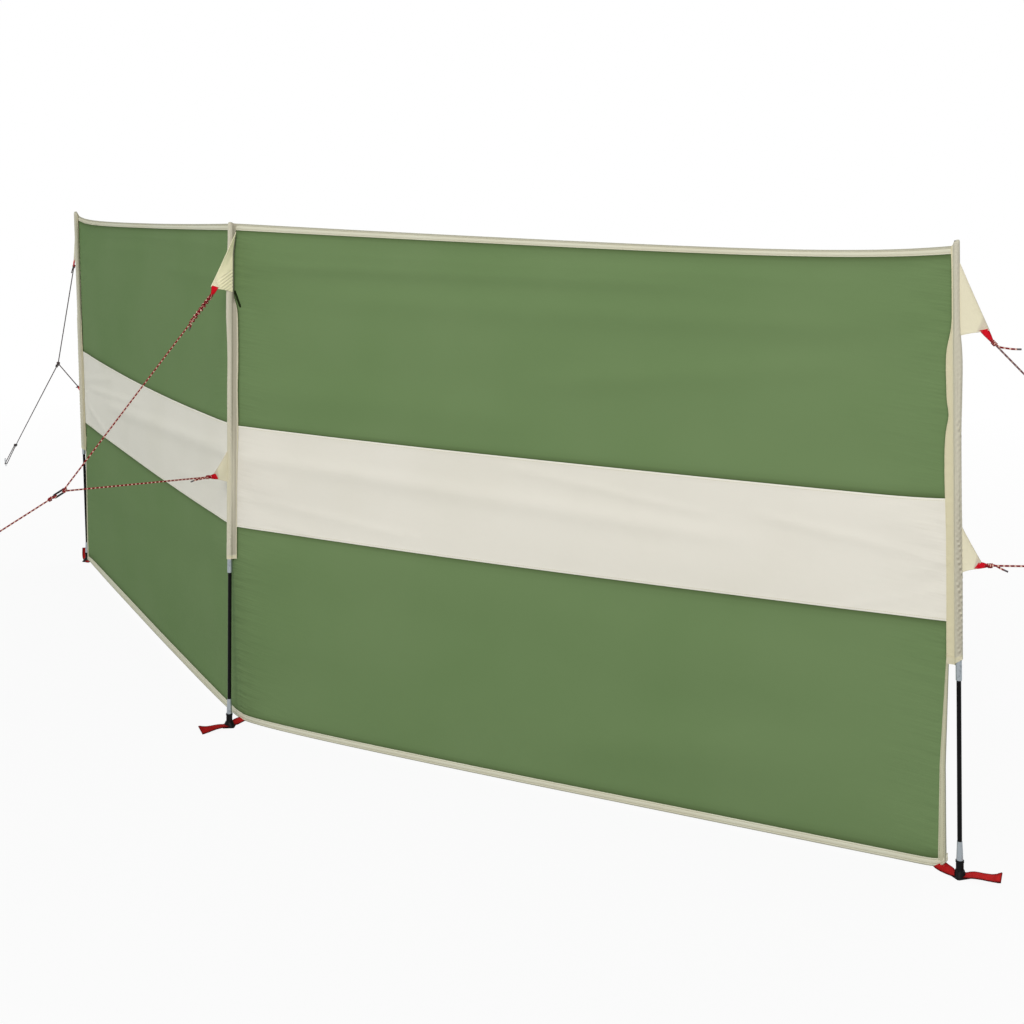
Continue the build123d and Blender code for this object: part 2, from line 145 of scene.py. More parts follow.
@dataclass
class Draft:
    """Vertices, faces, UVs and tints of a piece while it is being built."""

    points: list[Array] = field(default_factory=list)
    tints: list[Array] = field(default_factory=list)
    faces: list[tuple[int, ...]] = field(default_factory=list)
    uvs: list[Array] = field(default_factory=list)
    count: int = 0

    def add_points(self, points: Array, tint: Array | float = 0.0) -> Array:
        """Add vertices.

        Args:
            points: Array of points whose last axis is XYZ.
            tint: Tint of each vertex, or one for all.

        Returns:
            Vertex numbers in the shape of the points array.
        """
        shape = points.shape[:-1]
        amount = int(np.prod(shape))
        self.points.append(points.reshape(-1, 3))
        self.tints.append(np.broadcast_to(tint, shape).reshape(-1))
        numbers = np.arange(self.count, self.count + amount).reshape(shape)
        self.count += amount
        return numbers

    def add_quads(self, numbers: Array, uv: Array, wrap: bool = False, flip: bool = False) -> None:
        """Skin a grid of vertices with quads.

        Args:
            numbers: Vertex numbers in rows and columns.
            uv: UV of each grid place, with one more column where the grid wraps.
            wrap: Whether the last column joins the first.
            flip: Whether the faces are turned over.
        """
        ring = np.concatenate([numbers, numbers[:, :1]], axis=1) if wrap else numbers
        quads = np.stack([ring[:-1, :-1], ring[:-1, 1:], ring[1:, 1:], ring[1:, :-1]], axis=-1).reshape(-1, 4)
        corners = np.stack([uv[:-1, :-1], uv[:-1, 1:], uv[1:, 1:], uv[1:, :-1]], axis=2).reshape(-1, 4, 2)
        if flip:
            quads, corners = quads[:, ::-1], corners[:, ::-1]
        self.faces.extend(map(tuple, quads.tolist()))
        self.uvs.append(corners.reshape(-1, 2))

    def add_cap(self, numbers: Array, uv: Array) -> None:
        """Close a ring of vertices with one face."""
        self.faces.append(tuple(numbers.tolist()))
        self.uvs.append(uv)

    def add_tube(self, rings: Array, uv: Array, tint: Array | float = 0.0) -> None:
        """Skin closed rings and cap both ends.

        Args:
            rings: Points in rings, rows of columns of XYZ.
            uv: UV of each place, with one more column than the rings.
            tint: Tint of each vertex, or one for all.
        """
        numbers = self.add_points(rings, tint)
        self.add_quads(numbers, uv, wrap=True)
        self.add_cap(numbers[0][::-1], uv[0, -2::-1])
        self.add_cap(numbers[-1], uv[-1, :-1])

    def add_shell(
        self, front: Array, back: Array, uv: Array, tint: Array | float = 0.0,
        back_tint: Array | None = None,
    ) -> None:
        """Make a closed sheet from its two faces.

        Args:
            front: Grid of points of the front face.
            back: Grid of points of the back face.
            uv: UV of each grid place.
            tint: Tint of each grid place, or one for all.
            back_tint: Tint of the back face, where it differs.
        """
        first = self.add_points(front, tint)
        second = self.add_points(back, tint if back_tint is None else back_tint)
        self.add_quads(first, uv)
        self.add_quads(second, uv, flip=True)
        for edge in (np.s_[0, :], np.s_[-1, :], np.s_[:, 0], np.s_[:, -1]):
            rim = np.stack([first[edge], second[edge]])
            self.add_quads(rim, np.stack([uv[edge], uv[edge]]))

    def finish(self, name: str, material: Material) -> Object:
        """Turn the draft into an object with outward faces.

        Args:
            name: Name of the piece.
            material: Its finish.

        Returns:
            The object, linked to the scene.
        """
        mesh = bpy.data.meshes.new(name)
        mesh.from_pydata(np.concatenate(self.points).tolist(), [], self.faces)
        layer = mesh.uv_layers.new(name=UV_NAME)
        layer.data.foreach_set("uv", np.concatenate(self.uvs).astype(np.float32).reshape(-1))
        tint = mesh.attributes.new(TINT_NAME, "FLOAT", "POINT")
        tint.data.foreach_set("value", np.concatenate(self.tints).astype(np.float32))
        work = bmesh.new()
        work.from_mesh(mesh)
        bmesh.ops.recalc_face_normals(work, faces=work.faces[:])
        work.to_mesh(mesh)
        work.free()
        mesh.shade_smooth()
        mesh.set_sharp_from_angle(angle=SMOOTH_ANGLE)
        mesh.materials.append(material)
        piece = bpy.data.objects.new(name, mesh)
        bpy.context.scene.collection.objects.link(piece)
        log.info("built %s: %d vertices", name, self.count)
        return piece


def attach(piece: Object, slot: str, *nodes: str) -> Object:
    """Let a piece ride on the windbreak and hide the solids that it stands for.

    Args:
        piece: The piece.
        slot: Its material slot; not used.
        nodes: Names of the solids.

    Returns:
        The same piece.
    """
    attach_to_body(piece, BODY)
    if nodes:
        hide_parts(*nodes)
    return piece


# Finishes


class Wiring:
    """Adds nodes to a shader tree and joins them."""

    def __init__(self, tree: NodeTree) -> None:
        """Start on an emptied material tree or node group."""
        self.tree = tree
        tree.nodes.clear()

    def node(self, kind: str, **settings: object) -> Node:
        """Add a node and set its properties.

        Args:
            kind: Blender's name of the node type.
            settings: Properties of the node.

        Returns:
            The new node.
        """
        made = self.tree.nodes.new(kind)
        for name, value in settings.items():
            setattr(made, name, value)
        return made

    def feed(self, socket: NodeSocket, value: object) -> None:
        """Link an output to a socket, or set the socket's own value.

        Args:
            socket: Input that is fed.
            value: Output socket, or a plain value.
        """
        if isinstance(value, NodeSocket):
            self.tree.links.new(value, socket)
        else:
            socket.default_value = value

    def math(self, operation: str, first: object, second: object = 0.0) -> NodeSocket:
        """Add a Math node.

        Args:
            operation: Blender's name of the operation.
            first: Socket or number.
            second: Socket or number.

        Returns:
            The result's socket.
        """
        made = self.node("ShaderNodeMath", operation=operation)
        self.feed(made.inputs[0], first)
        self.feed(made.inputs[1], second)
        return made.outputs[0]

    def scale(self, vector: object, factor: object) -> NodeSocket:
        """Multiply a vector by a number.

        Args:
            vector: Socket of the vector.
            factor: Socket or number.

        Returns:
            The scaled vector's socket.
        """
        made = self.node("ShaderNodeVectorMath", operation="SCALE")
        self.feed(made.inputs[0], vector)
        self.feed(made.inputs["Scale"], factor)
        return made.outputs[0]

    def mix(self, share: object, first: object, second: object) -> NodeSocket:
        """Mix two colours.

        Args:
            share: Socket or number, zero for the first colour.
            first: Socket or RGBA.
            second: Socket or RGBA.

        Returns:
            The mixed colour's socket.
        """
        made = self.node("ShaderNodeMix", data_type="RGBA")
        self.feed(made.inputs["Factor"], share)
        self.feed(made.inputs[6], first)
        self.feed(made.inputs[7], second)
        return made.outputs[2]

    def noise(self, vector: object, size: object, detail: float = 2.0) -> NodeSocket:
        """Noise value over a vector, in features of a given scale.

        Args:
            vector: Socket of the coordinates.
            size: Features for each unit length.
            detail: Octaves of finer detail.

        Returns:
            The value's socket.
        """
        made = self.node("ShaderNodeTexNoise")
        self.feed(made.inputs["Vector"], vector)
        self.feed(made.inputs["Scale"], size)
        made.inputs["Detail"].default_value = detail
        return made.outputs["Fac"]

    def fill(self, node: Node, inputs: Mapping[str, object]) -> Node:
        """Feed a node's inputs by name.

        Args:
            node: The node.
            inputs: Sockets or values by input name.

        Returns:
            The same node.
        """
        for name, value in inputs.items():
            self.feed(node.inputs[name], value)
        return node

    def group(self, tree: NodeTree, **inputs: object) -> Node:
        """Place a node group and feed its inputs by name."""
        return self.fill(self.node("ShaderNodeGroup", node_tree=tree), inputs)

    def parts(self, vector: object) -> Sequence[NodeSocket]:
        """Split a vector.

        Args:
            vector: Socket of the vector.

        Returns:
            Sockets of its three parts.
        """
        made = self.node("ShaderNodeSeparateXYZ")
        self.feed(made.inputs[0], vector)
        return made.outputs

    def spread(
        self, value: object, start: float, end: float, low: float = 0.0, high: float = 1.0
    ) -> NodeSocket:
        """Map a value from one range to another.

        Args:
            value: Socket of the value.
            start: Value that gives the low result.
            end: Value that gives the high result.
            low: Result at the start.
            high: Result at the end.

        Returns:
            The result's socket.
        """
        ends = {"From Min": start, "From Max": end, "To Min": low, "To Max": high}
        return self.fill(self.node("ShaderNodeMapRange"), {"Value": value, **ends}).outputs[0]

    def cloth(self) -> NodeSocket:
        """Socket of the cloth's own UV."""
        return self.node("ShaderNodeUVMap", uv_map=UV_NAME).outputs[0]

    def place(self) -> NodeSocket:
        """Socket of the place in the object's own frame."""
        return self.node("ShaderNodeTexCoord").outputs["Object"]

    def tint(self) -> NodeSocket:
        """Socket of the tint that the mesh carries."""
        return self.node("ShaderNodeAttribute", attribute_name=TINT_NAME).outputs["Fac"]


def effect_group(
    name: str, inputs: dict[str, str], outputs: dict[str, str]
) -> tuple[Wiring, Sockets, Sockets]:
    """Start a shader node group with named sockets.

    Args:
        name: Name of the group.
        inputs: Socket kinds by input name.
        outputs: Socket kinds by output name.

    Returns:
        The group's wiring, the sockets that it is given and those of its results.
    """
    tree = bpy.data.node_groups.new(name, "ShaderNodeTree")
    for way, sockets in (("INPUT", inputs), ("OUTPUT", outputs)):
        for label, kind in sockets.items():
            tree.interface.new_socket(label, in_out=way, socket_type=f"NodeSocket{kind}")
    wiring = Wiring(tree)
    return wiring, wiring.node("NodeGroupInput").outputs, wiring.node("NodeGroupOutput").inputs


class Effects:
    """Node groups that several finishes share."""

    def __init__(self) -> None:
        """Build the groups once."""
        self.weave = self.build_weave()
        self.puckers = self.build_puckers()
        self.drift = self.build_drift()
        self.scuffs = self.build_scuffs()

    @staticmethod
    def build_weave() -> NodeTree:
        """Plain weave over a flat cloth's UV, with soft crumple.

        Returns:
            Group with the height of the threads and of the crumple.
        """
        inputs = {"Cloth": "Vector", "Thread": "Float", "Crumple": "Float"}
        wiring, given, result = effect_group("plain_weave", inputs, {"Threads": "Float", "Folds": "Float"})
        turns = wiring.math("DIVIDE", math.tau, given["Thread"])
        threads = wiring.parts(wiring.scale(given["Cloth"], turns))
        halves = wiring.parts(wiring.scale(given["Cloth"], wiring.math("MULTIPLY", turns, 0.5)))
        warp, weft = wiring.math("SINE", threads[0]), wiring.math("SINE", threads[1])
        crossing = wiring.math("MULTIPLY", wiring.math("SINE", halves[0]), wiring.math("SINE", halves[1]))
        over = wiring.math("GREATER_THAN", crossing, 0.0)
        under = wiring.math("SUBTRACT", 1.0, over)
        height = wiring.math("ADD", wiring.math("MULTIPLY", warp, over), wiring.math("MULTIPLY", weft, under))
        wiring.feed(result["Threads"], height)
        wiring.feed(result["Folds"], wiring.noise(given["Cloth"], given["Crumple"], 3.0))
        return wiring.tree

    @staticmethod
    def build_puckers() -> NodeTree:
        """Fine level creases that run into a cloth from both its ends.

        Returns:
            Group with the height of the creases, from minus to plus a half.
        """
        inputs = {"Cloth": "Vector", "Span": "Float", "Reach": "Float", "Pitch": "Float"}
        wiring, given, result = effect_group("seam_puckers", inputs, {"Creases": "Float"})
        along, height, _ = wiring.parts(given["Cloth"])
        beside = wiring.math("MINIMUM", along, wiring.math("SUBTRACT", given["Span"], along))
        reach = wiring.math("MULTIPLY", given["Reach"], -1.0)
        faded = wiring.math("EXPONENT", wiring.math("DIVIDE", beside, reach))
        drawn = wiring.node("ShaderNodeCombineXYZ")
        wiring.feed(drawn.inputs[0], wiring.math("MULTIPLY", along, 0.1))
        wiring.feed(drawn.inputs[1], wiring.math("ADD", height, wiring.math("MULTIPLY", along, 0.12)))
        creases = wiring.noise(drawn.outputs[0], wiring.math("DIVIDE", 1.0, given["Pitch"]), 2.0)
        level = wiring.math("SUBTRACT", creases, 0.5)
        wiring.feed(result["Creases"], wiring.math("MULTIPLY", level, faded))
        return wiring.tree

    @staticmethod
    def build_drift() -> NodeTree:
        """Slow drift of a colour over a surface.

        Returns:
            Group with the drifted colour.
        """
        inputs = {"Position": "Vector", "Size": "Float", "Colour": "Color", "Deep": "Color"}
        wiring, given, result = effect_group("colour_drift", inputs, {"Colour": "Color"})
        share = wiring.spread(wiring.noise(given["Position"], given["Size"], 2.0), 0.35, 0.7)
        wiring.feed(result["Colour"], wiring.mix(share, given["Colour"], given["Deep"]))
        return wiring.tree

    @staticmethod
    def build_scuffs() -> NodeTree:
        """Fine rubbed marks on a hard surface.

        Returns:
            Group with a mask of the marks and a grain height.
        """
        inputs = {"Position": "Vector", "Size": "Float"}
        wiring, given, result = effect_group("rubbed_marks", inputs, {"Mask": "Float", "Grain": "Float"})
        marks = wiring.noise(given["Position"], given["Size"], 6.0)
        wiring.feed(result["Mask"], wiring.spread(marks, 0.52, 0.72))
        fine = wiring.math("MULTIPLY", given["Size"], 12.0)
        wiring.feed(result["Grain"], wiring.noise(given["Position"], fine, 2.0))
        return wiring.tree


def new_material(name: str) -> tuple[Material, Wiring, Node]:
    """Start a material with a Principled shader on its output.

    Args:
        name: Name of the material.

    Returns:
        The material, its wiring and the shader.
    """
    material = bpy.data.materials.new(name)
    material.use_nodes = True
    wiring = Wiring(material.node_tree)
    shader = wiring.node("ShaderNodeBsdfPrincipled")
    output = wiring.node("ShaderNodeOutputMaterial")
    wiring.feed(output.inputs["Surface"], shader.outputs[0])
    return material, wiring, shader


def add_bump(wiring: Wiring, height: object, strength: float, distance: float) -> NodeSocket:
    """Bumped normal from a height.

    Args:
        wiring: The material's wiring.
        height: Socket of the height.
        strength: Share of the bump that shows.
        distance: Depth of the relief in metres.

    Returns:
        The normal's socket.
    """
    inputs = {"Strength": strength, "Distance": distance, "Height": height}
    return wiring.fill(wiring.node("ShaderNodeBump"), inputs).outputs["Normal"]


@dataclass(frozen=True)
class Finish:
    """A finish: its name, its main colour and a deeper or rubbed one; on cord, the painted shade in the
    braid's grooves.
    """

    name: str
    colour: Colour
    deep_and_groove_shade: Colour

    def drifted(self, wiring: Wiring, effects: Effects, size: float) -> NodeSocket:
        """The main colour, drifting at random to the deeper one.

        Args:
            wiring: The material's wiring.
            effects: Shared node groups.
            size: Drifts for each metre.

        Returns:
            The colour's socket.
        """
        colours = {"Colour": linear(self.colour), "Deep": linear(self.deep_and_groove_shade)}
        return wiring.group(effects.drift, Position=wiring.place(), Size=size, **colours).outputs[0]

    def make(self, effects: Effects) -> Material:
        """Build the material of a kind of finish."""
        raise NotImplementedError


@dataclass(frozen=True)
class ClothFinish(Finish):
    """A woven cloth: its colours, and the size of its threads, crumple and end creases."""

    # Colour the tint pulls toward: painted shade on the green, hems, binding and sleeves, a painted highlight
    # on the band, the patch colour on the gussets.
    tinted: Colour
    thread: float = 0.0008
    crumple: float = 14.0
    fold_depth: float = 0.0025
    roughness: float = 0.95
    warm: Colour | None = None
    span: float = 0.0
    crease_depth: float = 0.0095
    crease_reach: float = 0.07
    crease_pitch: float = 0.018

    def make(self, effects: Effects) -> Material:
        """Build the material.

        Args:
            effects: Shared node groups.

        Returns:
            The material.
        """
        material, wiring, shader = new_material(self.name)
        cloth, tint = wiring.cloth(), wiring.tint()
        relief = wiring.group(effects.weave, Cloth=cloth, Thread=self.thread, Crumple=self.crumple)
        base = wiring.mix(tint, self.drifted(wiring, effects, 3.0), linear(self.tinted))
        if self.warm is not None:
            base = wiring.mix(wiring.math("MULTIPLY", tint, -1.0), base, linear(self.warm))
        folds = wiring.math("MULTIPLY", relief.outputs["Folds"], self.fold_depth)
        threads = wiring.math("MULTIPLY", relief.outputs["Threads"], self.thread * 0.06)
        height = wiring.math("ADD", folds, threads)
        if self.span:
            puckers = wiring.group(
                effects.puckers, Cloth=cloth, Span=self.span, Reach=self.crease_reach, Pitch=self.crease_pitch
            )
            creases = wiring.math("MULTIPLY", puckers.outputs[0], self.crease_depth)
            height = wiring.math("ADD", height, creases)
        wiring.fill(shader, {
            "Base Color": base, "Normal": add_bump(wiring, height, 0.6, 1.0), "Roughness": self.roughness,
            "Specular IOR Level": 0.05,
        })
        return material


@dataclass(frozen=True)
class WebbingFinish(Finish):
    """Red webbing with close ribs along it and darker selvedges."""

    edge: Colour
    rib: float = 0.0016
    pick: float = 0.0011

    def make(self, effects: Effects) -> Material:
        """Build the material, whose UV is the distance across and along the webbing.

        Args:
            effects: Shared node groups.

        Returns:
            The material.
        """
        material, wiring, shader = new_material(self.name)
        across, along, _ = wiring.parts(wiring.cloth())
        ribs = wiring.math("SINE", wiring.math("MULTIPLY", across, math.tau / self.rib))
        lag = wiring.math("MULTIPLY", ribs, 1.2)
        steps = wiring.math("MULTIPLY", along, math.tau / self.pick)
        picks = wiring.math("SINE", wiring.math("ADD", lag, steps))
        height = wiring.math("ADD", wiring.math("MULTIPLY", ribs, 0.6), wiring.math("MULTIPLY", picks, 0.4))
        wiring.fill(shader, {
            "Base Color": wiring.mix(wiring.tint(), self.drifted(wiring, effects, 60.0), linear(self.edge)),
            "Normal": add_bump(wiring, height, 0.5, 0.00025), "Roughness": 0.75, "Specular IOR Level": 0.05,
        })
        return material


@dataclass(frozen=True)
class CordFinish(Finish):
    """Braided cord with pale flecks that stand opposite each other by turns, and painted shade in its braid's
    grooves.
    """

    fleck: Colour
    sealed: Colour = (0.36, 0.33, 0.34)
    fleck_pitch: float = 0.011
    braid_pitch: float = 0.0042

    def make(self, effects: Effects) -> Material:
        """Build the material, whose UV is the turn round the cord and the distance along it.

        Args:
            effects: Shared node groups.

        Returns:
            The material.
        """
        material, wiring, shader = new_material(self.name)
        round_cord, run, _ = wiring.parts(wiring.cloth())
        turn = wiring.math("MULTIPLY", round_cord, math.tau)
        along = wiring.math("MULTIPLY", run, math.tau / self.fleck_pitch)
        fleck = wiring.math("MULTIPLY", wiring.math("COSINE", turn), wiring.math("COSINE", along))
        steep = wiring.math("MULTIPLY", run, math.tau / self.braid_pitch)
        around = wiring.math("MULTIPLY", turn, 3.0)
        braid = wiring.math(
            "MULTIPLY",
            wiring.math("SINE", wiring.math("ADD", around, steep)),
            wiring.math("SINE", wiring.math("SUBTRACT", around, steep)),
        )
        # Painted shade in the braid's grooves, where its relief is low.
        braid_shade = wiring.math("MULTIPLY", wiring.math("GREATER_THAN", -0.08, braid), 0.75)
        base = wiring.mix(braid_shade, linear(self.colour), linear(self.deep_and_groove_shade))
        flecked = wiring.mix(wiring.spread(fleck, 0.32, 0.52), base, linear(self.fleck))
        wiring.fill(shader, {
            "Base Color": wiring.mix(wiring.tint(), flecked, linear(self.sealed)),
            "Normal": add_bump(wiring, braid, 0.5, 0.0003), "Roughness": 0.75, "Specular IOR Level": 0.2,
        })
        return material


@dataclass(frozen=True)
class HardFinish(Finish):
    """Plastic or metal with rubbed marks and grain."""

    roughness: float
    rubbed_roughness: float
    metallic: float = 0.0
    marks: float = 90.0
    grain: float = 0.00004
    specular: float = 0.2

    def make(self, effects: Effects) -> Material:
        """Build the material.

        Args:
            effects: Shared node groups.

        Returns:
            The material.
        """
        material, wiring, shader = new_material(self.name)
        scuffs = wiring.group(effects.scuffs, Position=wiring.place(), Size=self.marks)
        mask = scuffs.outputs["Mask"]
        wiring.fill(shader, {
            "Base Color": wiring.mix(mask, linear(self.colour), linear(self.deep_and_groove_shade)),
            "Roughness": wiring.spread(mask, 0.0, 1.0, self.roughness, self.rubbed_roughness),
            "Normal": add_bump(wiring, scuffs.outputs["Grain"], 0.4, self.grain),
            "Metallic": self.metallic, "Specular IOR Level": self.specular,
        })
        return material


@dataclass(frozen=True)
class ThreadFinish(Finish):
    """Sewing thread with twisted strands."""

    def make(self, effects: Effects) -> Material:
        """Build the material.

        Args:
            effects: Shared node groups.

        Returns:
            The material.
        """
        material, wiring, shader = new_material(self.name)
        wiring.fill(shader, {"Base Color": self.drifted(wiring, effects, 900.0), "Roughness": 0.75})
        return material


FINISHES: dict[str, Finish] = {
    # The green's tinted colour is the painted shadow beside its seams and the sleeves.
    "green": ClothFinish(
        "green_cloth", (0.417, 0.506, 0.34), (0.402, 0.496, 0.325), (0.22, 0.27, 0.14), span=1.83,
    ),
    # The cream's tinted colour is a painted highlight on the band's turned-in edges.
    "cream": ClothFinish(
        "cream_cloth", (0.868, 0.853, 0.813), (0.853, 0.838, 0.793), (0.91, 0.905, 0.85), span=1.83,
        crease_depth=0.0045,
    ),
    # The hem's and binding's tinted colour greys the rolled edge and paints shade in the stitch grooves.
    "hem": ClothFinish(
        "cream_hem", (0.815, 0.81, 0.735), (0.80, 0.785, 0.70), (0.58, 0.57, 0.50), thread=0.0007,
        crumple=60.0, fold_depth=0.0006,
    ),
    "binding": ClothFinish(
        "binding_cloth", (0.735, 0.73, 0.63), (0.71, 0.70, 0.60), (0.53, 0.53, 0.47), thread=0.0007,
        crumple=60.0, fold_depth=0.0006,
    ),
    # The sleeve's tinted colour is mostly painted shade; its warm colour is the flanges' own.
    "sleeve": ClothFinish(
        "sleeve_cloth", (0.775, 0.758, 0.69), (0.75, 0.732, 0.66), (0.60, 0.575, 0.51), crumple=70.0,
        fold_depth=0.0016, warm=(0.83, 0.80, 0.665),
    ),
    "gusset": ClothFinish(
        "gusset_cloth", (0.872, 0.85, 0.755), (0.85, 0.825, 0.72), (0.66, 0.61, 0.57), crumple=70.0,
        fold_depth=0.0012, warm=(0.95, 0.925, 0.775),
    ),
    "dark_strip": ClothFinish(
        "dark_green_strip", (0.13, 0.18, 0.08), (0.1, 0.14, 0.06), (0.1, 0.14, 0.06), crumple=80.0,
        fold_depth=0.0004,
    ),
    "webbing": WebbingFinish("red_webbing", (0.69, 0.12, 0.12), (0.60, 0.085, 0.09), (0.22, 0.01, 0.02)),
    "loop": WebbingFinish("loop_webbing", (0.80, 0.08, 0.14), (0.72, 0.06, 0.12), (0.36, 0.02, 0.05)),
    "cord": CordFinish("guy_cord", (0.55, 0.06, 0.11), (0.15, 0.02, 0.05), (0.86, 0.71, 0.64)),
    "grey_cord": CordFinish("guy_cord_grey", (0.26, 0.21, 0.215), (0.12, 0.10, 0.10), (0.46, 0.42, 0.41)),
    "pole": HardFinish("black_pole", (0.02, 0.02, 0.021), (0.035, 0.035, 0.036), 0.4, 0.55, specular=0.1),
    "ferrule": HardFinish(
        "ferrule_metal", (0.62, 0.65, 0.67), (0.52, 0.55, 0.57), 0.34, 0.5, metallic=0.75, marks=140.0,
        specular=0.5,
    ),
    "foot": HardFinish(
        "foot_plastic", (0.028, 0.029, 0.031), (0.05, 0.052, 0.055), 0.5, 0.65, marks=120.0, grain=0.0001,
        specular=0.12,
    ),
    "link": HardFinish("link_plastic", (0.045, 0.045, 0.05), (0.09, 0.09, 0.09), 0.4, 0.55, marks=160.0),
    "peg": HardFinish(
        "peg_steel", (0.7, 0.71, 0.72), (0.55, 0.55, 0.55), 0.32, 0.55, metallic=1.0, marks=180.0,
        specular=0.5,
    ),
    "thread": ThreadFinish("cream_thread", (0.80, 0.77, 0.64), (0.72, 0.68, 0.55)),
    "red_thread": ThreadFinish("red_thread", (0.5, 0.06, 0.1), (0.42, 0.05, 0.08)),
    "tack_thread": ThreadFinish("pink_thread", (0.80, 0.72, 0.69), (0.72, 0.62, 0.60)),
}


# Layout


@dataclass(frozen=True)
class Stand:
    """One pole's place: its foot, the way up the pole and the way that its guy runs out."""

    pole: Pole
    foot: Array
    axis: Array
    outward: Array

    @property
    def aside(self) -> Array:
        """The way across the plane of the pole and its guy."""
        return np.cross(self.axis, self.outward)

    def spot(self, out: float, rise: float, aside: float = 0.0) -> Array:
        """Point at a distance out along the guy, up the pole and aside."""
        return self.foot + self.outward * out + self.axis * rise + self.aside * aside

    @classmethod
    def from_frame(cls, pole: Pole) -> "Stand":
        """Read a pole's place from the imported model.

        Args:
            pole: Which pole.

        Returns:
            Its stand.
        """
        mounts = {mount["name"]: np.array(mount["pos_m"], float) for mount in frame["record"]["mounts"]}
        foot = mounts[f"{pole.value}_foot_sole"]
        outward = unit((mounts[f"{pole.value}_peg_shank"] - foot) * (1, 1, 0))
        low, high = node_ends(f"{pole.value}_pole_rods")
        return cls(pole, foot, unit(high - low), outward)


@dataclass(frozen=True)
class SewnLine:
    """Height of a sewn edge along a bay, from the middle fold to the end pole."""

    level: float
    drop: float = 0.0
    reach: float = 0.7
    sag: float = 0.0
    lift: float = 0.0
    lift_reach: float = 0.05

    def height(self, along: Array, width: float) -> Array:
        """Height of the edge.

        Args:
            along: Distances from the middle fold.
            width: The bay's width.

        Returns:
            Heights at those distances.
        """
        share = along / width
        fall = self.drop * (1 - np.exp(-along / self.reach))
        lifted = self.lift * np.exp((along - width) / self.lift_reach)
        return self.level - fall - 4 * self.sag * share * (1 - share) + lifted

    def raised(self, rise: float) -> "SewnLine":
        """The same line, higher by a rise."""
        return replace(self, level=self.level + rise)


@dataclass(frozen=True)
class Fold:
    """A long soft fold in a stretched cloth: where it runs, its half width and its depth."""

    start: float
    end: float
    start_height: float
    end_height: float
    half_width: float
    depth: float
    fade: float = 0.2

    def stands(self, along: Array, height: Array) -> Array:
        """How far the fold stands out.

        Args:
            along: Distances from the middle fold.
            height: Heights above ground.

        Returns:
            Depths at those places.
        """
        share = (along - self.start) / (self.end - self.start)
        centre = self.start_height + (self.end_height - self.start_height) * share
        shown = np.clip(np.minimum(share, 1 - share) / self.fade, 0, 1)
        return self.depth * shown * shown * (3 - 2 * shown) * bell(height - centre, self.half_width)


@dataclass(frozen=True)
class Pull:
    """A place where a guy or strap pulls the cloth into creases."""

    along: float
    height: float
    strength: float
    creases: int

    def stands(self, along: Array, height: Array) -> Array:
        """How far the creases stand out.

        Args:
            along: Distances from the middle fold.
            height: Heights above ground.

        Returns:
            Depths at those places.
        """
        away = np.hypot(along - self.along, height - self.height)
        angle = np.arctan2(height - self.height, along - self.along)
        crease = np.cos(self.creases * angle + self.height)
        return self.strength * crease * np.exp(-away / 0.16) * (1 - np.exp(-away / 0.04))


# Pulls on a bay: share of its width, height, strength and number of creases
PULLS = (
    (0.0, 1.13, 1.0, 6), (0.0, 0.63, 1.0, 7), (0.0, 0.02, 1.0, 7), (1.0, 1.12, 1.2, 8), (1.0, 0.64, 1.2, 7),
    (1.0, 0.02, 1.0, 7), (1.0, 1.27, 1.0, 6),
)


@dataclass(frozen=True)
class BayHabit:
    """How one bay hangs: its sewn lines below the pole's top, the plan of its hem and its folds."""

    top: SewnLine
    top_hem: SewnLine
    high_seam: SewnLine
    low_seam: SewnLine
    bottom: SewnLine
    bottom_hem: SewnLine
    bow: float
    bow_reach: float
    hem_end: float
    binding: tuple[float, float, float]
    seed: int
    folds: tuple[Fold, ...]
    wave_depth: float = 0.0008
    waves: int = 6
    crease: float = 0.0016
    pucker: float = 0.0007
    pucker_pitches: tuple[float, float] = (0.034, 0.021)
    pucker_reaches: tuple[float, float] = (0.05, 0.075)
    side_fades: tuple[float, float] = (0.05, 0.04)

    def depth(self, along: Array, height: Array, width: float) -> Array:
        """How far the cloth stands to the windward side, the same at each run.

        Args:
            along: Distances from the middle fold.
            height: Heights above ground.
            width: The bay's width.

        Returns:
            Depths at those places.
        """
        draw = np.random.RandomState(self.seed)
        total = np.zeros(np.broadcast(along, height).shape)
        for _ in range(self.waves):
            up_count, along_count = draw.uniform(1.5, 6.0), draw.uniform(-0.6, 0.6)
            swell = 0.6 + 0.4 * np.sin(math.tau * draw.uniform(0.3, 1.2) * along + draw.uniform(0, 6))
            wave = np.sin(math.tau * (up_count * height + along_count * along) + draw.uniform(0, 6))
            total = total + self.wave_depth * wave * swell
        pulls = tuple(
            Pull(share * width, level, pull * self.crease, creases) for share, level, pull, creases in PULLS
        )
        for shape in self.folds + pulls:
            total = total + shape.stands(along, height)
        for beside, reach in zip((along, width - along), self.pucker_reaches):
            for pitch in self.pucker_pitches:
                swing = math.tau * height / draw.uniform(0.2, 0.4) + draw.uniform(0, 6)
                strength = 0.5 + 0.5 * np.sin(swing)
                pucker = np.sin(math.tau * (height + 0.12 * beside) / pitch + draw.uniform(0, 6))
                total = total + self.pucker * strength * pucker * np.exp(-beside / reach)
        at_fold, at_end = self.side_fades
        sides = (1 - np.exp(-along / at_fold)) * (1 - np.exp(-(width - along) / at_end))
        return total * np.clip(sides, 0, 1)


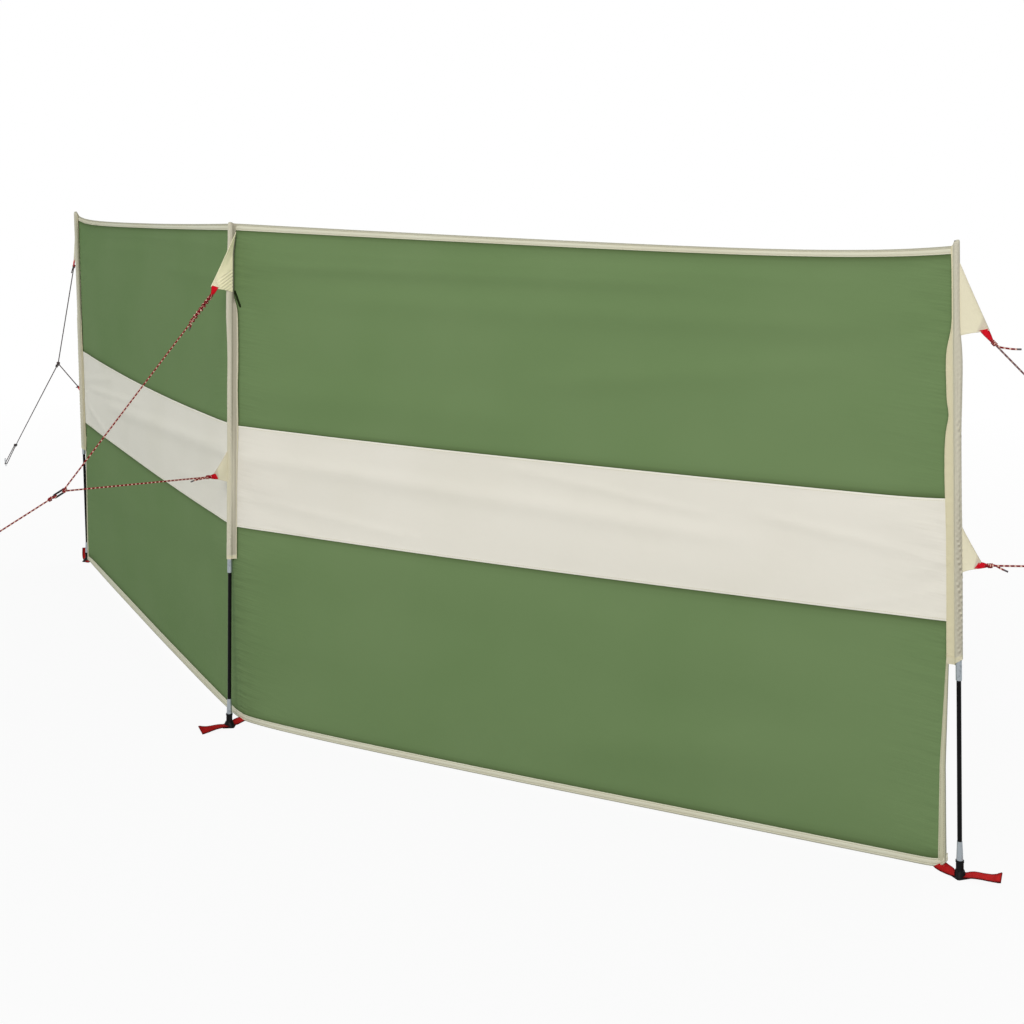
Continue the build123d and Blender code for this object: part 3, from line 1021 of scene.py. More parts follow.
BAY_HABITS = {
    Bay.RIGHT: BayHabit(
        top=SewnLine(0.007, drop=0.181, reach=6.0, lift=0.029, lift_reach=0.20),
        top_hem=SewnLine(-0.0105, drop=0.165, reach=6.0, lift=0.0255, lift_reach=0.20),
        high_seam=SewnLine(0.774, drop=0.021, reach=0.7, lift=0.008),
        low_seam=SewnLine(0.513, drop=0.004, reach=1.0, sag=0.006),
        bottom=SewnLine(0.0, lift=0.187, lift_reach=0.0107),
        bottom_hem=SewnLine(0.016, lift=0.187, lift_reach=0.0107),
        bow=0.034, bow_reach=0.26, hem_end=0.004,
        binding=(0.027, 0.028, 0.021), seed=11,
        folds=(
            Fold(-0.1, 1.5, 1.226, 1.206, 0.011, 0.0016), Fold(0.3, 1.7, 1.213, 1.193, 0.010, 0.0012),
            Fold(-0.1, 1.4, 1.192, 1.178, 0.018, 0.0042), Fold(0.1, 1.8, 1.112, 1.098, 0.030, 0.0036),
            Fold(0.8, 1.7, 0.93, 1.03, 0.030, 0.0030), Fold(-0.2, 0.9, 0.875, 0.845, 0.045, 0.0042),
            Fold(-0.3, 1.5, 0.712, 0.620, 0.022, 0.0034), Fold(0.75, 1.35, 0.740, 0.668, 0.010, 0.0016),
            Fold(1.35, 1.95, 0.694, 0.612, 0.011, 0.0020), Fold(-0.1, 0.6, 0.606, 0.535, 0.010, 0.0015),
            Fold(-0.1, 0.3, 0.566, 0.508, 0.008, 0.0012), Fold(1.55, 1.95, 0.500, 0.610, 0.008, 0.0010),
            Fold(0.4, 1.6, 0.43, 0.40, 0.060, 0.0030), Fold(0.8, 1.9, 0.09, 0.25, 0.050, 0.0022),
        ),
    ),
    Bay.LEFT: BayHabit(
        top=SewnLine(0.007, drop=0.055, reach=1.5, lift=0.016, lift_reach=0.12),
        top_hem=SewnLine(-0.0105, drop=0.085, reach=3.0, lift=0.016, lift_reach=0.12),
        high_seam=SewnLine(0.775, sag=0.0165),
        low_seam=SewnLine(0.514, drop=0.002, reach=1.0, sag=0.008),
        bottom=SewnLine(0.0, drop=-0.004, reach=0.3),
        bottom_hem=SewnLine(0.016, drop=-0.010, reach=0.2, lift=-0.009, lift_reach=0.12),
        bow=0.035, bow_reach=0.62, hem_end=-0.004,
        binding=(0.018, 0.004, 0.004), seed=5,
        folds=(
            Fold(-0.1, 1.9, 1.235, 1.228, 0.011, 0.0012), Fold(0.0, 0.7, 1.15, 1.145, 0.015, 0.0016),
            Fold(0.8, 1.6, 1.19, 1.165, 0.020, 0.0014), Fold(1.0, 1.9, 0.97, 0.93, 0.040, 0.0016),
            Fold(-0.3, 1.6, 0.715, 0.620, 0.022, 0.0042), Fold(0.9, 1.8, 0.700, 0.645, 0.010, 0.0024),
            Fold(1.3, 1.95, 0.735, 0.655, 0.010, 0.0020), Fold(1.4, 1.95, 0.515, 0.620, 0.012, 0.0022),
            Fold(-0.1, 0.6, 0.630, 0.550, 0.012, 0.0016), Fold(0.2, 1.3, 0.41, 0.32, 0.050, 0.0024),
        ),
    ),
}


@dataclass(frozen=True)
class BaySurface:
    """The middle surface of one bay's cloth, and the sewn lines on it."""

    bay: Bay
    way: Array
    inward: Array
    width: float
    lean: float
    offset: float
    sleeve_bottom: float
    pole_top: float
    hem_level: float = 0.0068
    fold_round: float = 0.018

    @classmethod
    def from_frame(cls, bay: Bay, middle: Stand, end: Stand) -> "BaySurface":
        """Work out a bay's surface from its two poles.

        Args:
            bay: Which bay.
            middle: The middle pole.
            end: The bay's end pole.

        Returns:
            The surface.
        """
        span = end.foot - middle.foot
        way = unit(span)
        inward = np.array((-way[1], way[0], 0.0)) * (1 if bay is Bay.RIGHT else -1)
        sleeve_low, sleeve_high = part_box("middle_sleeve")
        cloth = np.array([v.co for v in frame["nodes"][f"{bay.value}_upper_cloth"].data.vertices])
        offset = float((cloth[cloth @ way < 0.1] @ inward).mean())
        lean = float(-(end.axis @ inward) / end.axis[2])
        return cls(bay, way, inward, float(np.linalg.norm(span)), lean, offset, sleeve_low.z, sleeve_high.z)

    @property
    def habit(self) -> BayHabit:
        """How this bay hangs."""
        return BAY_HABITS[self.bay]

    @property
    def fold_slope(self) -> float:
        """Slope in plan of the cloth from the fold."""
        return abs(self.way[1] / self.way[0])

    @property
    def top(self) -> SewnLine:
        """Top edge of the cloth, which lifts to the peak of the end sleeve."""
        return self.habit.top.raised(self.pole_top)

    @property
    def top_hem(self) -> SewnLine:
        """Lower edge of the top hem."""
        return self.habit.top_hem.raised(self.pole_top)

    @property
    def high_seam(self) -> SewnLine:
        """Upper edge of the pale band."""
        return self.habit.high_seam

    @property
    def low_seam(self) -> SewnLine:
        """Lower edge of the pale band."""
        return self.habit.low_seam

    @property
    def bottom(self) -> SewnLine:
        """Bottom edge of the cloth, just clear of the ground, which the strap lifts at the end."""
        return self.habit.bottom.raised(self.hem_level)

    @property
    def bottom_hem(self) -> SewnLine:
        """Upper edge of the bottom hem."""
        return self.habit.bottom_hem.raised(self.hem_level)

    def inset(self, along: Array, height: Array) -> Array:
        """How far the cloth lies to the sheltered side of the poles' line.

        Args:
            along: Distances from the middle fold.
            height: Heights above ground.

        Returns:
            Distances of the cloth's middle surface.
        """
        free = np.clip((self.sleeve_bottom - height) / self.sleeve_bottom, 0, 1)
        share = along / self.width
        bowed = self.habit.bow * np.exp(-along / self.habit.bow_reach) + self.habit.hem_end * share
        rounded = self.fold_slope * (np.sqrt(along**2 + self.fold_round**2) - along)
        return self.offset * (1 - free) + (bowed + rounded) * free - self.lean * height * share

    def place(self, along: Array, height: Array, proud: Array | float = 0.0) -> Array:
        """World points on the cloth.

        Args:
            along: Distances from the middle fold.
            height: Heights above ground.
            proud: Distance to the windward side of the cloth's middle surface.

        Returns:
            Points, with XYZ as the last axis.
        """
        along, height, proud = np.broadcast_arrays(np.asarray(along, float), height, proud)
        inset = self.inset(along, height) - proud - self.habit.depth(along, height, self.width)
        reach = along + inset * self.fold_slope * (1 - along / self.width)
        return reach[..., None] * self.way + inset[..., None] * self.inward + height[..., None] * UP


@dataclass(frozen=True)
class SleeveShape:
    """How a sleeve sits on its pole: height, flange reach, outer reach and girth at rising knots."""

    knots: tuple[tuple[float, float, float, float], ...]
    blend: float = 0.012

    def column(self, rise: Array, number: int) -> Array:
        """Smoothed value of one column of the knots.

        Args:
            rise: Heights up the pole.
            number: Which column.

        Returns:
            Values at those heights.
        """
        table = np.array(self.knots)
        steps = (-self.blend, 0.0, self.blend)
        return sum(np.interp(rise + step, table[:, 0], table[:, number]) for step in steps) / len(steps)

    def flange(self, rise: Array) -> Array:
        """Reach of the front flange from the pole along the cloth."""
        return self.column(rise, 1)

    def outer(self, rise: Array) -> Array:
        """Reach of the tube on the side that the guy pulls."""
        return self.column(rise, 2)

    def girth(self, rise: Array) -> Array:
        """Radius of the tube away from the pull."""
        return self.column(rise, 3)


SLEEVES = {
    Pole.LEFT: SleeveShape((
        (0.43, 0.014, 0.0078, 0.0076), (0.70, 0.014, 0.0080, 0.0076), (0.80, 0.012, 0.0076, 0.0076),
        (0.88, 0.008, 0.0074, 0.0074), (0.94, 0.0015, 0.0064, 0.0062), (1.18, 0.002, 0.0062, 0.0061),
        (1.29, 0.009, 0.0062, 0.0062),
    )),
    Pole.MIDDLE: SleeveShape((
        (0.43, 0.0160, 0.0072, 0.0076), (0.56, 0.0145, 0.0072, 0.0076), (0.63, 0.0155, 0.0085, 0.0076),
        (0.73, 0.0182, 0.0076, 0.0076), (0.94, 0.0185, 0.0074, 0.0076), (1.00, 0.0180, 0.0092, 0.0074),
        (1.06, 0.0165, 0.0125, 0.0070), (1.085, 0.0125, 0.0125, 0.0064), (1.11, 0.0015, 0.0125, 0.0062),
        (1.21, 0.0015, 0.0105, 0.0062),
        (1.25, 0.0060, 0.0080, 0.0068), (1.30, 0.0105, 0.0080, 0.0072),
    )),
    Pole.RIGHT: SleeveShape((
        (0.43, 0.0255, 0.0085, 0.0078), (0.56, 0.0250, 0.0086, 0.0078), (0.69, 0.0250, 0.0088, 0.0078),
        (0.74, 0.0260, 0.0078, 0.0076), (0.80, 0.0275, 0.0076, 0.0076), (0.86, 0.0272, 0.0076, 0.0076),
        (0.905, 0.0235, 0.0078, 0.0076), (0.93, 0.0165, 0.0085, 0.0074), (0.955, 0.0220, 0.0095, 0.0074),
        (1.03, 0.0240, 0.0112, 0.0074), (1.065, 0.0225, 0.0105, 0.0072), (1.10, 0.0140, 0.0075, 0.0068),
        (1.12, 0.0112, 0.0070, 0.0066), (1.23, 0.0112, 0.0068, 0.0066), (1.30, 0.0135, 0.0066, 0.0066),
    )),
}
# Flange tints from the outer edge to the tube: warm below zero; the middle's positive end is painted shade
# next to its tube.
FLANGE_TINTS = {Pole.LEFT: (-1.0, -1.0), Pole.MIDDLE: (-0.7, 0.65), Pole.RIGHT: (-0.75, -0.75)}


# Sewing


class StitchTree:
    """Geometry Nodes that lay stitches along the edges of a path mesh."""

    def __init__(self) -> None:
        """Build the node tree."""
        tree = bpy.data.node_groups.new("stitch_row", "GeometryNodeTree")
        sockets = (
            ("Path", "INPUT", "Geometry"), ("Pitch", "INPUT", "Float"), ("Stitch Length", "INPUT", "Float"),
            ("Thread Width", "INPUT", "Float"), ("Thread", "INPUT", "Material"),
            ("Stitches", "OUTPUT", "Geometry"),
        )
        self.keys = {
            label: tree.interface.new_socket(label, in_out=way, socket_type=f"NodeSocket{kind}").identifier
            for label, way, kind in sockets
        }
        nodes = tree.nodes
        start = nodes.new("NodeGroupInput")
        end = nodes.new("NodeGroupOutput")
        curve = nodes.new("GeometryNodeMeshToCurve")
        points = nodes.new("GeometryNodeCurveToPoints")
        points.mode = "LENGTH"
        turn = nodes.new("FunctionNodeAlignRotationToVector")
        turn.axis = "Z"
        ball = nodes.new("GeometryNodeMeshIcoSphere")
        ball.inputs["Radius"].default_value = 0.5
        size = nodes.new("ShaderNodeCombineXYZ")
        stamp = nodes.new("GeometryNodeInstanceOnPoints")
        real = nodes.new("GeometryNodeRealizeInstances")
        finish = nodes.new("GeometryNodeSetMaterial")
        links = (
            (start, "Path", curve, "Mesh"), (curve, "Curve", points, "Curve"),
            (start, "Pitch", points, "Length"), (points, "Tangent", turn, "Vector"),
            (start, "Thread Width", size, "X"),
            (start, "Thread Width", size, "Y"), (start, "Stitch Length", size, "Z"),
            (points, "Points", stamp, "Points"), (ball, "Mesh", stamp, "Instance"),
            (turn, "Rotation", stamp, "Rotation"), (size, "Vector", stamp, "Scale"),
            (stamp, "Instances", real, "Geometry"), (real, "Geometry", finish, "Geometry"),
            (start, "Thread", finish, "Material"), (finish, "Geometry", end, "Stitches"),
        )
        for source, given, target, taken in links:
            tree.links.new(source.outputs[given], target.inputs[taken])
        self.tree = tree

    def sew(
        self, name: str, rows: Sequence[Array], thread: Material, slot: str,
        pitch: float = 0.0046, length: float = 0.0036, width: float = 0.0009,
    ) -> Object:
        """Lay stitches along rows of points.

        Args:
            name: Name of the piece.
            rows: Point lists, one for each row.
            thread: Finish of the thread.
            slot: Material slot of the cloth that is sewn.
            pitch: Distance between stitches.
            length: Length of one stitch.
            width: Width of the thread.

        Returns:
            One object with all the stitches as a plain mesh.
        """
        edges: list[tuple[int, int]] = []
        start = 0
        for row in rows:
            edges += [(start + i, start + i + 1) for i in range(len(row) - 1)]
            start += len(row)
        mesh = bpy.data.meshes.new(name)
        mesh.from_pydata(np.concatenate(rows).tolist(), edges, [])
        piece = bpy.data.objects.new(name, mesh)
        bpy.context.scene.collection.objects.link(piece)
        modifier = piece.modifiers.new("stitches", "NODES")
        modifier.node_group = self.tree
        values = {"Pitch": pitch, "Stitch Length": length, "Thread Width": width, "Thread": thread}
        for label, value in values.items():
            modifier[self.keys[label]] = value
        graph = bpy.context.evaluated_depsgraph_get()
        made = bpy.data.meshes.new_from_object(piece.evaluated_get(graph))
        piece.modifiers.clear()
        piece.data = made
        made.name = name
        made.shade_smooth()
        bpy.data.meshes.remove(mesh)
        log.info("sewed %s: %d faces", name, len(made.polygons))
        return attach(piece, slot)


@dataclass
class BayCloth:
    """One bay of cloth: three strips, two hems, the end binding and their stitches."""

    surface: BaySurface
    wardrobe: Wardrobe
    needle: StitchTree
    half_ply: float = 0.0004
    lap: float = 0.010
    turn_in: float = 0.008
    column_pitch: float = 0.009
    close_pitch: float = 0.0022
    close_reach: float = 0.044
    row_pitch: float = 0.011
    end_lap: float = 0.002
    binding_head: float = 0.012
    binding_rise: float = 0.03
    binding_widths: tuple[float, float, float] = (0.0175, 0.0120, 0.0055)
    corner_fade: float = 0.09
    shadow_reach: float = 0.0042
    shadow_share: float = 0.5
    band_proud: float = 0.0013
    turned_plies: float = 1.9
    edge_round: float = 0.0012
    # Painted highlight along the band's turned-in edges: how far it reaches and its strength.
    edge_reach: float = 0.0045
    edge_tint: float = 0.55
    # Strength of the painted shadow on the green beside its seams.
    seam_shadow_tint: float = 0.8
    seam_steps: tuple[float, ...] = (0.0, 0.0012, 0.0025, 0.004, 0.006, 0.009, 0.014, 0.022, 0.034)
    seam_points: int = 300
    seam_inside: float = 0.0045
    seam_prouds: tuple[float, float] = (0.0021, -0.0004)
    hem_profile_shares: tuple[tuple[float, float], ...] = (
        (0.0, 0.35), (0.03, 0.8), (0.12, 0.95), (0.19, 0.62), (0.26, 0.95), (0.45, 1.0), (0.62, 0.92),
        (0.70, 0.6), (0.77, 0.98), (0.88, 1.15), (0.96, 0.95), (1.0, 0.45),
    )
    hem_half: float = 0.0019
    hem_girth: float = 0.042
    binding_girth: float = 0.036
    binding_rings: int = 56
    rolled_from: float = 0.84
    rolled_tint: float = 0.75
    stitch_levels: tuple[float, float] = (0.19, 0.70)
    # Painted shade in the hem's stitch grooves: half its width and its strength at each groove.
    groove_half: float = 0.05
    groove_shades: tuple[float, float] = (0.35, 0.55)
    stitch_sink: float = 0.66

    @property
    def name(self) -> str:
        """Name of the bay in the nodes."""
        return self.surface.bay.value

    def columns(self) -> Array:
        """Distances from the fold of the cloth's columns, closer at the sleeves' edges.

        Returns:
            Rising distances.
        """
        end = self.surface.width - self.end_lap
        even = np.linspace(0, end, int(end / self.column_pitch) + 1)
        close = np.arange(0, self.close_reach, self.close_pitch)
        return np.unique(np.round(np.concatenate([even, close, end - close]), 4))

    def strip_heights(self, low: Array, high: Array) -> Array:
        """Rows of heights between two edges, closer at the seams.

        Args:
            low: Heights of the lower edge for each column.
            high: Heights of the upper edge for each column.

        Returns:
            Heights in rows and columns.
        """
        steps = np.array(self.seam_steps)[:, None]
        count = int(float((high - low).mean()) / self.row_pitch)
        shares = np.linspace(0, 1, count + 1)[:, None]
        first, last = low + steps[-1], high - steps[-1]
        inner = first + (last - first) * shares[1:-1]
        return np.concatenate([low + steps, inner, high - steps[::-1]])

    def strip(
        self, node: str, low: SewnLine, high: SewnLine, laps: tuple[float, float], in_front: bool,
        material: Material, slot: str,
    ) -> Object:
        """One strip of cloth as a thin closed sheet.

        Args:
            node: Name of the solid that it stands for.
            low: Lower sewn line.
            high: Upper sewn line.
            laps: How far the strip runs on behind its lower and upper seam.
            in_front: Whether it lies over its neighbours with turned-in edges.
            material: Its finish.
            slot: Its material slot.

        Returns:
            The strip.
        """
        surface = self.surface
        along = self.columns()
        low_line, high_line = low.height(along, surface.width), high.height(along, surface.width)
        heights = self.strip_heights(low_line - laps[0], high_line + laps[1])
        wide = np.broadcast_to(along, heights.shape)
        if node.endswith("lower_cloth"):
            wide = np.minimum(wide, self.free_edge(heights) - self.binding_width(heights) / 2)
        into = np.minimum(heights - low_line, high_line - heights)
        half = np.full(heights.shape, self.half_ply)
        base = 0.0
        if in_front:
            base = self.band_proud
            half = half * np.where(into < self.turn_in, self.turned_plies, 1.0)
            half = half * np.clip(0.35 + into / self.edge_round, 0, 1)
            # Painted highlight along the band's turned-in edges.
            tint = self.edge_tint * np.clip(1 - into / self.edge_reach, 0, 1)
        else:
            # On the green the tint is painted shadow along the seams, wider towards the end pole.
            reach = self.shadow_reach * (1 + 0.8 * wide / surface.width)
            tint = np.clip(np.exp(-np.maximum(into, 0) / reach), 0, 1) * self.seam_shadow_tint
        # The front face also takes the painted shadow beside the sleeves' flanges.
        front_tint = tint if in_front else np.maximum(tint, self.sleeve_shadow(wide, heights))
        uv = spread_uv(wide, heights)
        draft = Draft()
        front, back = (surface.place(wide, heights, base + side * half) for side in (1, -1))
        draft.add_shell(front, back, uv, front_tint, tint)
        piece = draft.finish(f"{node}_sheet", material)
        return attach(piece, slot, node)

    def sleeve_shadow(self, along: Array, height: Array) -> Array:
        """Dark line on the cloth beside the sleeves' flanges.

        Args:
            along: Distances from the middle fold.
            height: Heights above ground.

        Returns:
            Tints at those places.
        """
        surface = self.surface
        end_pole = Pole(surface.bay.value)
        past_fold = along - SLEEVES[Pole.MIDDLE].flange(height)
        past_end = surface.width - SLEEVES[end_pole].flange(height) - along
        beside = np.maximum(np.minimum(past_fold, past_end), 0)
        inside = np.clip((height - surface.sleeve_bottom) / 0.01, 0, 1)
        return self.shadow_share * inside * np.exp(-beside / (self.shadow_reach / 2))

    def free_edge(self, height: Array) -> Array:
        """Outer edge of the cloth below the sleeve, which runs on behind the sleeve's flange.

        Args:
            height: Heights above ground.

        Returns:
            Distances from the fold.
        """
        mouth = self.surface.sleeve_bottom
        knots = (0.0, mouth / 2, mouth, mouth + self.binding_rise)
        setback = (*self.surface.habit.binding, self.binding_head)
        return self.surface.width - np.interp(height, knots, setback)

    def binding_width(self, height: Array) -> Array:
        """Width of the end binding, from the foot to the sleeve."""
        mouth = self.surface.sleeve_bottom
        return np.interp(height, (0.0, mouth / 2, mouth), self.binding_widths)

    def hem_ring(self) -> tuple[Array, Array, Array]:
        """Section of a folded hem, up its front and down its back.

        Returns:
            Shares of the hem's width, distances proud of the cloth, and tints.
        """
        shares = np.array(self.hem_profile_shares)
        rise = np.concatenate([shares[:, 0], shares[::-1, 0]])
        proud = np.concatenate([shares[:, 1], -shares[::-1, 1]]) * self.hem_half
        # Tints: a greyer rolled edge, and painted shade in the two stitch grooves.
        tint = np.where(rise > self.rolled_from, self.rolled_tint, 0.0)
        for level, shade in zip(self.stitch_levels, self.groove_shades):
            tint = tint + np.where(np.abs(rise - level) < self.groove_half, shade, 0.0)
        return rise, proud, tint

    def sew_faces(self, node: str, lines: Sequence[tuple[Array, Array]]) -> None:
        """Sew along lines of distances and heights, on both faces of a fold.

        Args:
            node: Name of the solid that the fold stands for.
            lines: Distances and heights of each line.
        """
        proud = self.hem_half * self.stitch_sink
        rows = [self.surface.place(*line, side * proud) for line in lines for side in (1, -1)]
        self.needle.sew(f"{node}_stitches", rows, self.wardrobe["thread"], "cream_hem")

    def hem(self, node: str, low: SewnLine, high: SewnLine, upside_down: bool) -> Object:
        """A folded hem with stitch grooves and a rolled outer edge.

        Args:
            node: Name of the solid that it stands for.
            low: Its lower line.
            high: Its upper line.
            upside_down: Whether the rolled edge is at the bottom.

        Returns:
            The hem.
        """
        surface = self.surface
        setback = surface.habit.binding[0] - self.end_lap if upside_down else self.end_lap
        end = surface.width - setback
        along = np.linspace(0, end, int(end / self.column_pitch))
        rise, proud, tint = self.hem_ring()
        share = 1 - rise if upside_down else rise
        low_line, high_line = low.height(along, surface.width), high.height(along, surface.width)
        heights = low_line[:, None] + (high_line - low_line)[:, None] * share
        rings = surface.place(along[:, None], heights, proud)
        uv = spread_uv(along[:, None], np.linspace(0, self.hem_girth, len(rise) + 1))
        draft = Draft()
        draft.add_tube(rings, uv, np.broadcast_to(tint, heights.shape))
        piece = draft.finish(f"{node}_fold", self.wardrobe["hem"])
        levels = [1 - level if upside_down else level for level in self.stitch_levels]
        self.sew_faces(node, [(along, low_line + (high_line - low_line) * level) for level in levels])
        return attach(piece, "cream_hem", node)

    def binding(self) -> Object:
        """The folded end of the cloth below the end sleeve.

        Returns:
            The binding.
        """
        surface = self.surface
        node = f"{self.name}_end_binding"
        low, high = surface.hem_level + 0.001, surface.sleeve_bottom + self.binding_rise
        heights = np.linspace(low, high, self.binding_rings)
        rise, proud, tint = self.hem_ring()
        wide = self.binding_width(heights)
        edge = self.free_edge(heights)[:, None] - wide[:, None] * (1 - rise)
        fade = np.clip(1 - (heights - surface.hem_level) / self.corner_fade, 0, 1)[:, None]
        lifted = (surface.bottom.height(edge, surface.width) - surface.hem_level) * fade
        rings = surface.place(edge, heights[:, None] + lifted, proud)
        uv = spread_uv(heights[:, None], np.linspace(0, self.binding_girth, len(rise) + 1))
        draft = Draft()
        draft.add_tube(rings, uv, np.broadcast_to(tint, edge.shape))
        piece = draft.finish(f"{node}_fold", self.wardrobe["binding"])
        outer = self.free_edge(heights)
        self.sew_faces(node, [(outer - wide * (1 - level), heights) for level in self.stitch_levels])
        return attach(piece, "cream_hem", node)

    def seam_stitches(self) -> Object:
        """Stitches along both edges of the pale band, on both faces.

        Returns:
            The stitches.
        """
        surface = self.surface
        along = np.linspace(self.end_lap, surface.width - self.end_lap, self.seam_points)
        rows = []
        for line, inside in ((surface.high_seam, -self.seam_inside), (surface.low_seam, self.seam_inside)):
            height = line.height(along, surface.width) + inside
            rows += [surface.place(along, height, proud) for proud in self.seam_prouds]
        return self.needle.sew(f"{self.name}_band_stitches", rows, self.wardrobe["thread"], "cream_cloth")

    def build(self) -> None:
        """Make every piece of the bay."""
        surface, name = self.surface, self.name
        laps = (self.lap, self.lap)
        green, cream = (self.wardrobe["green"], "green_cloth"), (self.wardrobe["cream"], "cream_cloth")
        upper = self.strip(f"{name}_upper_cloth", surface.high_seam, surface.top_hem, laps, False, *green)
        band = self.strip(f"{name}_band", surface.low_seam, surface.high_seam, (0.0, 0.0), True, *cream)
        lower = self.strip(f"{name}_lower_cloth", surface.bottom_hem, surface.low_seam, laps, False, *green)
        top_hem = self.hem(f"{name}_top_hem", surface.top_hem, surface.top, False)
        bottom_hem = self.hem(f"{name}_bottom_hem", surface.bottom, surface.bottom_hem, True)
        binding = self.binding()
        seams = self.seam_stitches()
        depth = [
            line.height(np.array(surface.width / 2), surface.width)
            for line in (surface.bottom_hem, surface.low_seam, surface.high_seam, surface.top_hem)
        ]


# Pole sleeves, gussets and webbing loops


@dataclass(frozen=True)
class GussetShape:
    """A guy gusset: its root below the pole's top, its cut tip, and how its root wraps the pole."""

    drop: float
    root: float
    reach: float
    lift: float
    cut: float
    loop: float = 0.022
    hang: float | None = None
    turn: float = 0.0
    ribs: float = 0.0
    wrapped: bool = False
    sweep: float = 0.0

    def cut_way(self, stand: Stand) -> Array:
        """The way along the cut tip, from its lower to its upper end.

        Args:
            stand: The pole that carries the gusset.

        Returns:
            Unit vector.
        """
        cut, turn = math.radians(self.cut), math.radians(self.turn)
        level = stand.outward * math.cos(turn) - stand.aside * math.sin(turn)
        return level * math.cos(cut) + stand.axis * math.sin(cut)


END_GUSSETS = {
    Corner.UPPER: GussetShape(0.044, 0.151, 0.055, 0.011, cut=14.5, loop=0.024, hang=55.0),
    Corner.LOWER: GussetShape(0.582, 0.0935, 0.040, 0.0175, cut=55.0, loop=0.017),
}
MIDDLE_GUSSETS = {
    Corner.UPPER: GussetShape(
        0.014, 0.156, 0.050, 0.013, cut=20.0, loop=0.020, hang=66.0, turn=40.0, ribs=0.0009, wrapped=True,
        sweep=0.014,
    ),
    Corner.LOWER: GussetShape(0.577, 0.084, 0.045, 0.020, cut=62.0, loop=0.018),
}


@dataclass
class GuyLayout:
    """Where one pole's guy runs: gusset tips, link, and the ring round the peg."""

    stand: Stand
    pole_top: float
    guy_reach: float = 2.0
    ring_height: float = 0.012
    link_bar: float = 0.014
    link_head: float = 0.0115
    loop_width: float = 0.0195

    @property
    def gussets(self) -> dict[Corner, GussetShape]:
        """The gussets of this pole."""
        return MIDDLE_GUSSETS if self.stand.pole is Pole.MIDDLE else END_GUSSETS

    @property
    def link(self) -> Array:
        """Centre of the link."""
        return node_centre(f"{self.stand.pole.value}_guy_link")

    @property
    def ring(self) -> Array:
        """Centre of the line's turn round the peg."""
        return self.stand.spot(self.guy_reach, self.ring_height)

    @property
    def way(self) -> Array:
        """The way from the link down to the peg."""
        return unit(self.ring - self.link)

    def tip(self, corner: Corner) -> Array:
        """Centre of a gusset's cut tip."""
        shape = self.gussets[corner]
        return self.stand.spot(shape.reach, self.pole_top - shape.drop - shape.root + shape.lift)

    def loop_way(self, corner: Corner) -> Array:
        """The way that a gusset's webbing loop hangs.

        Args:
            corner: Which gusset.

        Returns:
            Unit vector.
        """
        hang = self.gussets[corner].hang
        if hang is None:
            return unit(self.link - self.way * self.link_head - self.tip(corner))
        angle = math.radians(hang)
        return self.stand.outward * math.cos(angle) - self.stand.axis * math.sin(angle)

    def nose(self, corner: Corner) -> Array:
        """Where the cord's knot closes a webbing loop."""
        return self.tip(corner) + self.loop_way(corner) * self.gussets[corner].loop

    def leg_way(self, corner: Corner) -> Array:
        """The way of the bridle leg from its knot to the link."""
        return unit(self.link - self.way * self.link_head - self.nose(corner))


